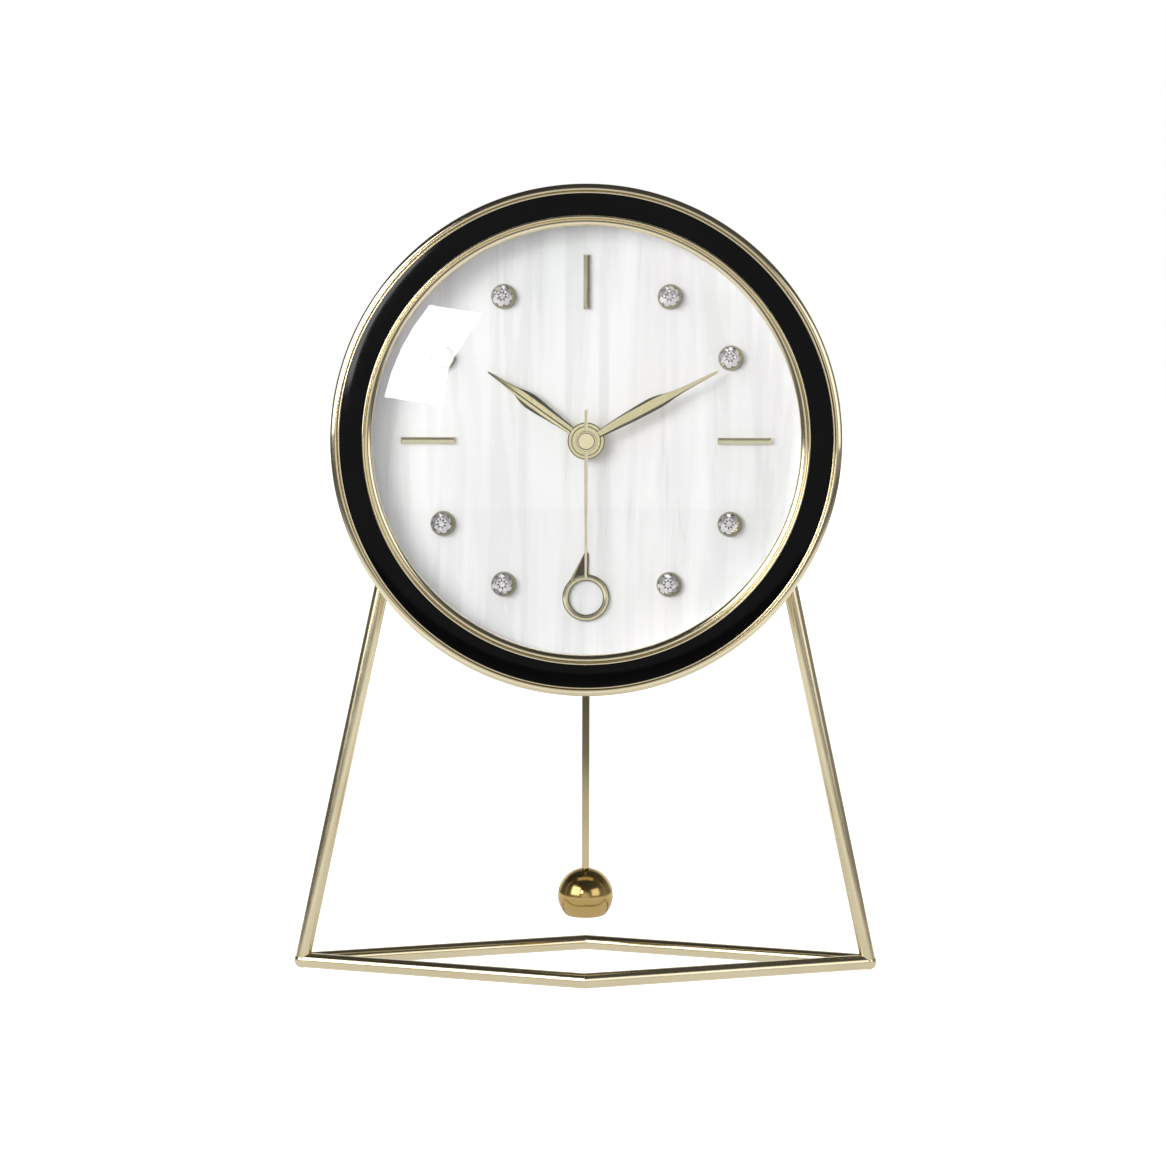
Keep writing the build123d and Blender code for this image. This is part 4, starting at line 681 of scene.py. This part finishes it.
# The black band's front: a low crown over its width
BAND_MIDDLE, BAND_HALF_WIDTH = 82.35, 3.7
BAND_EDGE_DEPTH, BAND_CROWN = -23.2, 0.10
BAND_ARC = 16  # degrees either side of the middle


def band_front():
    points = []
    for degrees in range(-BAND_ARC, BAND_ARC + 1, 2):
        reach = BAND_HALF_WIDTH * math.sin(math.radians(degrees)) / math.sin(math.radians(BAND_ARC))
        rise = BAND_CROWN * (1 - (degrees / BAND_ARC) ** 2)
        points.append((BAND_MIDDLE - reach, BAND_EDGE_DEPTH - rise))
    return points


def make_rings():
    """The bezel with its two beads and the groove between them, the band, and the stepped rim."""
    outer_bead = arc((87.35, -22.35), (2.15, 1.3), (0.0, 90.0), 14)
    inner_bead = arc((86.55, -22.95), (0.42, 0.45), (-70.0, 70.0), 8)
    bezel = outer_bead + BEZEL_BACK + inner_bead + BEZEL_GROOVE
    turned("outer_bezel", bezel, "bezel_ring", materials["gold_plating"])
    turned("black_band", BAND_BACK + band_front(), "band_ring", materials["black_lacquer"])
    lip = arc((78.0, -23.15), (0.45, 0.45), (80.0, -60.0), 10)
    slope = arc((77.2, -22.0), (-2.2, 1.3), (5.0, 88.0), 14)
    rim = lip + RIM_STEP + slope + RIM_BACK
    turned("stepped_rim", rim, "inner_rim", materials["gold_plating"])


make_rings()


# ---------------------------------------------------------------- glass

GLASS_EDGE = 75.0
GLASS_THICKNESS = 1.8
GLASS_STATIONS = 30
GLASS_STEPS = 180
GLASS_CREASE = 5.0
WELD_DISTANCE = 0.0000005


def make_glass():
    """The dome with its flat seat: both faces are part of a sphere of the same radius."""
    seat_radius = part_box("lens")[1].x / MM
    front = []
    for step in range(GLASS_STATIONS + 1):
        radius = GLASS_EDGE * step / GLASS_STATIONS
        fall = DOME_RADIUS - math.sqrt(DOME_RADIUS ** 2 - radius ** 2)
        front.append((radius, GLASS_POLE + fall))
    seat = front[-1][1]
    rear = [(radius, depth + GLASS_THICKNESS) for radius, depth in reversed(front)]
    profile = front + [(seat_radius, seat), (seat_radius, seat + GLASS_THICKNESS)] + rear
    mesh = bmesh.new()
    lathe(mesh, profile, AXIS_SPOT, steps=GLASS_STEPS)
    bmesh.ops.remove_doubles(mesh, verts=mesh.verts, dist=WELD_DISTANCE)
    loose = [edge for edge in mesh.edges if not edge.link_faces]
    bmesh.ops.delete(mesh, geom=loose, context="EDGES")
    finished("dome_glass", mesh, "lens", STAND_BODY, [materials["glass"]], GLASS_CREASE)


make_glass()


# ---------------------------------------------------------------- marks on the dial

DIAL_FRONT = -13.0

BAR_REACH = 55.7
BAR_HALF_LENGTH, BAR_HALF_WIDTH = 9.5, 1.1
BAR_SHOULDER, BAR_HEIGHT = 1.0, 1.6
BAR_RIDGE_HALF_LENGTH = 8.9
BAR_RIDGES = ((0, 0.25), (3, -0.25), (9, 0.25))  # hour, and the ridge's place across the bar
BAR_CREASE = 5.0

SIX_RING_DROP = 55.3  # from the middle of the dial down to the ring's middle
# The ring as (radius, height above the dial), and its strips between those points that are painted
# dark as shade
SIX_RING = [(8.3, 0.0), (8.3, 0.9), (8.0, 1.25), (7.2, 1.6), (6.35, 1.25), (6.05, 0.9), (6.05, 0.0)]
SIX_RING_STEPS = 144
SIX_RING_DARK = (1, 4, 5)
# The stem as (x, z from the middle of the dial, height): its outline, and its one peak
SIX_STEM = [
    (-0.2, -38.8, 1.0), (0.9, -39.8, 0.5), (0.9, -47.9, 0.5), (-3.4, -48.8, 0.8),
    (-6.6, -52.3, 0.9), (-6.0, -49.6, 0.7),
]
SIX_PEAK = (-4.7, -49.0, 1.5)
SIX_CREASE = 12.0
SIX_WELD_DISTANCE = 0.000001

STUD_HOURS = (1, 2, 4, 5, 7, 8, 10, 11)
STUD_REACH = 58.4
# A cup as (radius, height above the dial)
CUP_PROFILE = [
    (4.5, 0.0), (4.4, 0.5), (4.0, 1.7), (3.9, 1.95), (3.72, 2.0), (3.68, 1.3), (0.1, 1.3),
    (0.1, 0.0),
]
CUP_STEPS = 72
CUP_CREASE = 25.0
CUP_SHIFT = (0.5, 0.0, -0.2)  # from its stone
STONE_SHIFT = (-0.3, 0.0, 0.1)  # from the stud's place
STONE_RADIUS = 3.68
STONE_TOP, STONE_POLE = 3.2, 3.1  # heights above the dial
STONE_TURN = 7.0  # degrees more for each stone
STONE_CREASE = 1.0
# Rings of corners, from the star in the middle by the table, the kites and the girdle to the
# back: how many, their share of the radius, the ring's turn in corners, and how far the even
# and the odd ones lie below the top
STONE_RINGS = [
    (8, 0.30, 0.0, 0.06, 0.20), (8, 0.60, 0.5, 0.10, 0.10), (8, 0.80, 0.0, 0.55, 0.55),
    (16, 0.985, 0.0, 0.98, 1.05), (16, 0.985, 0.0, 1.9, 1.9),
]


def on_dial(reach, hour, depth=0.0, across=0.0):
    """A place in millimetres: reach from the middle of the dial towards an hour, and across it
    clockwise."""
    angle = math.radians(30.0 * hour)
    x = reach * math.sin(angle) + across * math.cos(angle)
    z = reach * math.cos(angle) - across * math.sin(angle)
    return Vector((x, depth, z + AXIS_HEIGHT))


def make_bars():
    """Three hour bars with a ridge beside the middle line and sloping ends."""
    base = [(0, 3, 2, 1)]
    sides = [(0, 1, 5, 4), (1, 2, 6, 5), (2, 3, 7, 6), (3, 0, 4, 7)]
    roof = [(4, 5, 9, 8), (6, 7, 8, 9), (5, 6, 9), (7, 4, 8)]
    long, wide = BAR_HALF_LENGTH, BAR_HALF_WIDTH
    mesh = bmesh.new()
    for hour, ridge in BAR_RIDGES:
        points = []
        for depth in (DIAL_FRONT, DIAL_FRONT - BAR_SHOULDER):
            for along, across in ((-long, -wide), (long, -wide), (long, wide), (-long, wide)):
                points.append(on_dial(BAR_REACH + along, hour, depth, across))
        for along in (-BAR_RIDGE_HALF_LENGTH, BAR_RIDGE_HALF_LENGTH):
            points.append(on_dial(BAR_REACH + along, hour, DIAL_FRONT - BAR_HEIGHT, ridge))
        faceted(mesh, points, base + sides + roof)
        mesh.faces.ensure_lookup_table()
        # One slope of each roof takes the dark slot: painted shade
        dark_slope = 1 if ridge > 0.0 else 0
        mesh.faces[dark_slope - len(roof)].material_index = DARK
    dress = [golds["bar_gold"], golds["painted_shade_bar_gold"]]
    finished("hour_batons", mesh, "hour_bars", STAND_BODY, dress, BAR_CREASE)


def make_numeral():
    """The six: a bevelled ring and a wedge of a stem with bright facets and dark ones: painted
    shade on the ring, a painted dark reflection on the wedge.
    """
    mesh = bmesh.new()
    ring = [(radius, DIAL_FRONT - height) for radius, height in SIX_RING]
    lathe(mesh, ring, (0.0, 0.0, AXIS_HEIGHT - SIX_RING_DROP), steps=SIX_RING_STEPS)
    mesh.faces.ensure_lookup_table()
    # Painted shade: these strips of the ring take the dark gold
    for strip in SIX_RING_DARK:
        first = SIX_RING_STEPS * strip
        for face in mesh.faces[first:first + SIX_RING_STEPS]:
            face.material_index = DARK
    count = len(SIX_STEM)
    points = [(x, DIAL_FRONT, z + AXIS_HEIGHT) for x, z, height in SIX_STEM]
    points += [(x, DIAL_FRONT - height, z + AXIS_HEIGHT) for x, z, height in (*SIX_STEM, SIX_PEAK)]
    base = [(5, 4, 3, 2, 1, 0)]
    walls = [(i, (i + 1) % count, (i + 1) % count + count, i + count) for i in range(count)]
    bright = [(6, 11, 12), (11, 10, 12), (10, 9, 12)]
    faceted(mesh, points, base + walls + bright)
    # These facets of the wedge are painted dark: a painted dark reflection
    dark_points = [points[index] for index in (6, 12, 9, 8, 7)]
    faceted(mesh, dark_points, [(0, 1, 2), (0, 2, 3, 4)], mark=DARK)
    bmesh.ops.remove_doubles(mesh, verts=mesh.verts, dist=SIX_WELD_DISTANCE)
    dress = [golds["numeral_gold"], golds["painted_shade_gold"]]
    finished("bevelled_six", mesh, "numeral_six", STAND_BODY, dress, SIX_CREASE)


def stone_ring(mesh, spot, turn, number, share, shift, even, odd):
    """One ring of a stone's corners."""
    ring = []
    for step in range(number):
        angle = turn + 2.0 * math.pi * (step + shift) / number
        reach = STONE_RADIUS * share
        depth = DIAL_FRONT - STONE_TOP + (odd if step % 2 else even)
        place = Vector((reach * math.cos(angle), depth, reach * math.sin(angle)))
        ring.append(mesh.verts.new((spot + place) * MM))
    return ring


def cut_stone(mesh, spot, turn):
    """A stone with a star in the middle, kites round it and a girdle; some facets are painted grey
    as dark reflections.
    """
    inner, table, kites, girdle, back = [
        stone_ring(mesh, spot, turn, *values) for values in STONE_RINGS
    ]
    pole = Vector((0.0, DIAL_FRONT - STONE_POLE, 0.0))
    middle = mesh.verts.new((spot + pole) * MM)
    for step in range(8):
        after, odd = (step + 1) % 8, girdle[2 * step + 1]
        mesh.faces.new((middle, inner[step], inner[after]))
        # Facets in the dark slot are painted grey as dark reflections
        mesh.faces.new((inner[step], table[step], inner[after])).material_index = DARK
        mesh.faces.new((table[step], inner[after], table[after]))
        mesh.faces.new((table[step], kites[after], table[after]))
        mesh.faces.new((table[step], kites[step], odd))
        mesh.faces.new((table[step], kites[after], odd))
        mesh.faces.new((kites[step], girdle[2 * step], odd)).material_index = DARK
        mesh.faces.new((kites[after], odd, girdle[(2 * step + 2) % 16]))
    for step in range(16):
        after = (step + 1) % 16
        mesh.faces.new((girdle[step], girdle[after], back[after], back[step]))
    mesh.faces.new(back)


def make_studs():
    """Eight settings with a thin lip, and their eight stones."""
    cups, stones = bmesh.new(), bmesh.new()
    cup = [(radius, DIAL_FRONT - height) for radius, height in CUP_PROFILE]
    for count, hour in enumerate(STUD_HOURS):
        spot = on_dial(STUD_REACH, hour) + Vector(STONE_SHIFT)
        lathe(cups, cup, spot + Vector(CUP_SHIFT), steps=CUP_STEPS)
        cut_stone(stones, spot, math.radians(STONE_TURN * count))
    olive = surface(
        "olive_gold", ((0.26, 0.25, 0.15), (0.36, 0.34, 0.20)), (0.12, 0.2), Metallic=1.0,
    )
    # A grey for some of the stones' facets: painted dark reflections
    grey = surface(
        "painted_reflection_facets", ((0.12, 0.115, 0.12), (0.22, 0.21, 0.215)), (0.03, 0.08), Metallic=0.9,
    )
    finished("stud_settings", cups, "stud_cups", STAND_BODY, [olive], CUP_CREASE)
    dress = [materials["crystal"], grey]
    finished("cut_stones", stones, "stud_crystals", STAND_BODY, dress, STONE_CREASE)


make_bars()
make_numeral()
make_studs()


# ---------------------------------------------------------------- hands

# Each blade is a list of stations: reach from the axis, then the places across it.
HOUR_BLADE = [
    # edge, facet, groove, ridge, facet, edge
    (5.0, (-1.1, -1.0, -0.60, -0.15, 0.9, 1.2)),
    (9.1, (-1.5, -1.3, -0.66, -0.16, 1.1, 1.6)),
    (15.4, (-2.0, -1.55, -0.64, -0.14, 1.28, 2.15)),
    (19.6, (-2.45, -1.6, -0.62, -0.12, 1.45, 2.6)),
    (23.9, (-2.7, -1.62, -0.60, -0.10, 1.52, 2.85)),
    (26.0, (-2.45, -1.5, -0.56, -0.08, 1.55, 2.6)),
    (28.1, (-1.85, -1.3, -0.54, -0.06, 1.5, 2.2)),
    (30.2, (-1.15, -1.05, -0.52, -0.04, 1.3, 1.6)),
    (34.4, (-0.85, -0.8, -0.50, -0.02, 0.85, 1.0)),
    (38.6, (-0.50, -0.45, -0.30, 0.05, 0.60, 0.68)),
    (42.0, (-0.28, -0.22, -0.16, 0.0, 0.18, 0.24)),
]
MINUTE_BLADE = [
    # edge, facet, facet, edge
    (4.0, (-1.1, -0.6, 1.0, 1.2)),
    (7.0, (-1.3, -0.7, 1.25, 1.5)),
    (13.3, (-1.6, -0.7, 1.85, 2.2)),
    (17.5, (-1.8, -0.85, 2.0, 2.5)),
    (21.8, (-1.88, -0.88, 2.05, 2.8)),
    (26.0, (-1.92, -0.88, 2.1, 2.95)),
    (28.1, (-1.9, -0.85, 2.08, 2.75)),
    (30.2, (-1.8, -0.82, 1.95, 2.4)),
    (32.3, (-1.55, -0.75, 1.7, 1.85)),
    (34.4, (-1.2, -0.65, 1.35, 1.45)),
    (38.6, (-0.80, -0.50, 0.90, 0.97)),
    (51.2, (-0.45, -0.30, 0.45, 0.50)),
    (52.3, (-0.12, -0.08, 0.12, 0.15)),
]
SECOND_BLADE = [
    # edge, ridge, edge
    (-48.5, (-0.4, 0.0, 0.4)),
    (-5.0, (-0.65, 0.0, 0.65)),
    (11.0, (-0.55, 0.0, 0.55)),
]
# Over each of those places the blade's height, and round it the strips that are painted dark as
# shade
HOUR_HEIGHTS, HOUR_DARK = (0.08, 0.42, 0.38, 0.68, 0.50, 0.08), (0, 1, 3, 5, 6)
MINUTE_HEIGHTS, MINUTE_DARK = (0.08, 0.50, 0.62, 0.08), (0, 1, 3, 4)
SECOND_HEIGHTS = (0.3, 0.4, 0.3)
HOUR_ANGLE, MINUTE_ANGLE, SECOND_ANGLE = 305.0, 62.0, 0.0  # degrees from twelve o'clock
HOUR_REAR, MINUTE_REAR, SECOND_REAR = -16.5, -18.0, -19.3
HAND_CREASE = 8.0

# Hubs: rear, front, outer and inner radius, and bevel
HOUR_HUB = (-16.3, -17.2, 6.5, 2.6, 0.35)
MINUTE_HUB = (-17.8, -18.7, 5.2, 1.7, 0.3)
HUB_STEPS = 180

# The cap of the second hand: two bosses and the floor between them
CAP_FLOOR, CAP_FLOOR_SLACK = -20.45, 0.02
CAP_HUBS = [
    (SECOND_REAR, -20.7, 3.5, 3.05, 0.12),
    (SECOND_REAR, -20.7, 2.85, 0.05, 0.12),
    (SECOND_REAR, CAP_FLOOR, 3.2, 0.1, 0.1),
]
CAP_REACH = 3.8
# The cap's rings and floor that are painted dark as shade
CAP_DARK_RINGS = ((3.38, CAP_REACH), (2.7, 3.15))
CAP_DARK_FROM = -19.9  # only in front of this depth
CAP_SLOT = 2


def blade(mesh, stations, degrees, rear, heights, dark=(), side=1.0):
    """A hand's blade from its stations, at an angle from twelve o'clock; side -1 mirrors it."""
    rows = []
    for reach, places in stations:
        edges = (places[0], *places, places[-1])
        row = []
        for place, height in zip(edges, (0.0, *heights, 0.0)):
            spot = on_dial(reach, degrees / 30.0, rear - height, side * place)
            row.append(mesh.verts.new(spot * MM))
        rows.append(row)
    count = len(rows[0])
    for here, there in zip(rows, rows[1:]):
        for strip in range(count):
            after = (strip + 1) % count
            face = mesh.faces.new((here[strip], here[after], there[after], there[strip]))
            # Strips listed as dark take the slot of painted shade
            face.material_index = DARK if strip in dark else 0
    mesh.faces.new(rows[0])
    mesh.faces.new(rows[-1])


def hub(mesh, rear, front, outer, inner, bevel):
    """A flat boss; its wall and its bevel are painted dark as shade."""
    before = len(mesh.faces)
    wall = [(outer, rear), (outer, front + bevel)]
    face_and_bore = [(outer - bevel, front), (inner, front), (inner, rear)]
    lathe(mesh, wall + face_and_bore, AXIS_SPOT, steps=HUB_STEPS)
    mesh.faces.ensure_lookup_table()
    for face in mesh.faces[before:before + 2 * HUB_STEPS]:
        face.material_index = DARK


def mark_cap(mesh):
    """The cap of the second hand: bright bosses with grooves, walls and bevels painted dark as
    shade.
    """
    for face in mesh.faces:
        middle = face.calc_center_median() / MM
        reach = math.hypot(middle.x, middle.z - AXIS_HEIGHT)
        in_ring = any(start < reach < end for start, end in CAP_DARK_RINGS)
        groove = in_ring or abs(middle.y - CAP_FLOOR) < CAP_FLOOR_SLACK
        if groove and middle.y < CAP_DARK_FROM:
            face.material_index = DARK
        elif reach < CAP_REACH:
            face.material_index = CAP_SLOT


def make_hands():
    dress = [golds["facet_gold"], golds["painted_shade_gold"]]
    mesh = bmesh.new()
    blade(mesh, HOUR_BLADE, HOUR_ANGLE, HOUR_REAR, HOUR_HEIGHTS, HOUR_DARK)
    hub(mesh, *HOUR_HUB)
    body = "hour_hand_and_wheel"
    finished("leaf_hour_hand", mesh, "hour_hand", body, dress, HAND_CREASE)
    mesh = bmesh.new()
    blade(mesh, MINUTE_BLADE, MINUTE_ANGLE, MINUTE_REAR, MINUTE_HEIGHTS, MINUTE_DARK, side=-1.0)
    hub(mesh, *MINUTE_HUB)
    body = "minute_hand_and_pinion"
    finished("leaf_minute_hand", mesh, "minute_hand", body, dress, HAND_CREASE)
    mesh = bmesh.new()
    blade(mesh, SECOND_BLADE, SECOND_ANGLE, SECOND_REAR, SECOND_HEIGHTS)
    for values in CAP_HUBS:
        hub(mesh, *values)
    mark_cap(mesh)
    dress = [golds["sweep_gold"], golds["painted_shade_gold"], golds["cap_gold"]]
    body = "second_hand_and_wheel"
    finished("sweep_hand", mesh, "second_hand", body, dress, HAND_CREASE)


make_hands()


# ---------------------------------------------------------------- pendulum

BOB_CENTRE = (0.0, 2.4, 26.3)
BOB_RADIUS = 9.95
BOB_FLAT = 7.35  # from the centre down to the flat underside
BOB_STATIONS = 60
BOB_START, BOB_STOP = 4.0, 3.0  # degrees short of the top and of the underside's edge
BOB_POLE_RADIUS = 0.6


def make_bob():
    """The ball with its flat underside and a softened edge."""
    profile = [(BOB_POLE_RADIUS, math.sqrt(BOB_RADIUS ** 2 - BOB_POLE_RADIUS ** 2))]
    span = math.degrees(math.acos(-BOB_FLAT / BOB_RADIUS)) - BOB_START - BOB_STOP
    for step in range(1, BOB_STATIONS + 1):
        angle = math.radians(BOB_START + span * step / BOB_STATIONS)
        profile.append((BOB_RADIUS * math.sin(angle), BOB_RADIUS * math.cos(angle)))
    edge = math.sqrt(BOB_RADIUS ** 2 - BOB_FLAT ** 2)
    profile += [(edge - 0.12, -BOB_FLAT + 0.15), (edge - 0.45, -BOB_FLAT), (0.1, -BOB_FLAT)]
    mesh = bmesh.new()
    lathe(mesh, profile, BOB_CENTRE, upright=True)
    finished("ball_bob", mesh, "pendulum_bob", "pendulum", [golds["bob_gold"]])


make_bob()


# ---------------------------------------------------------------- end

bpy.context.view_layer.update()
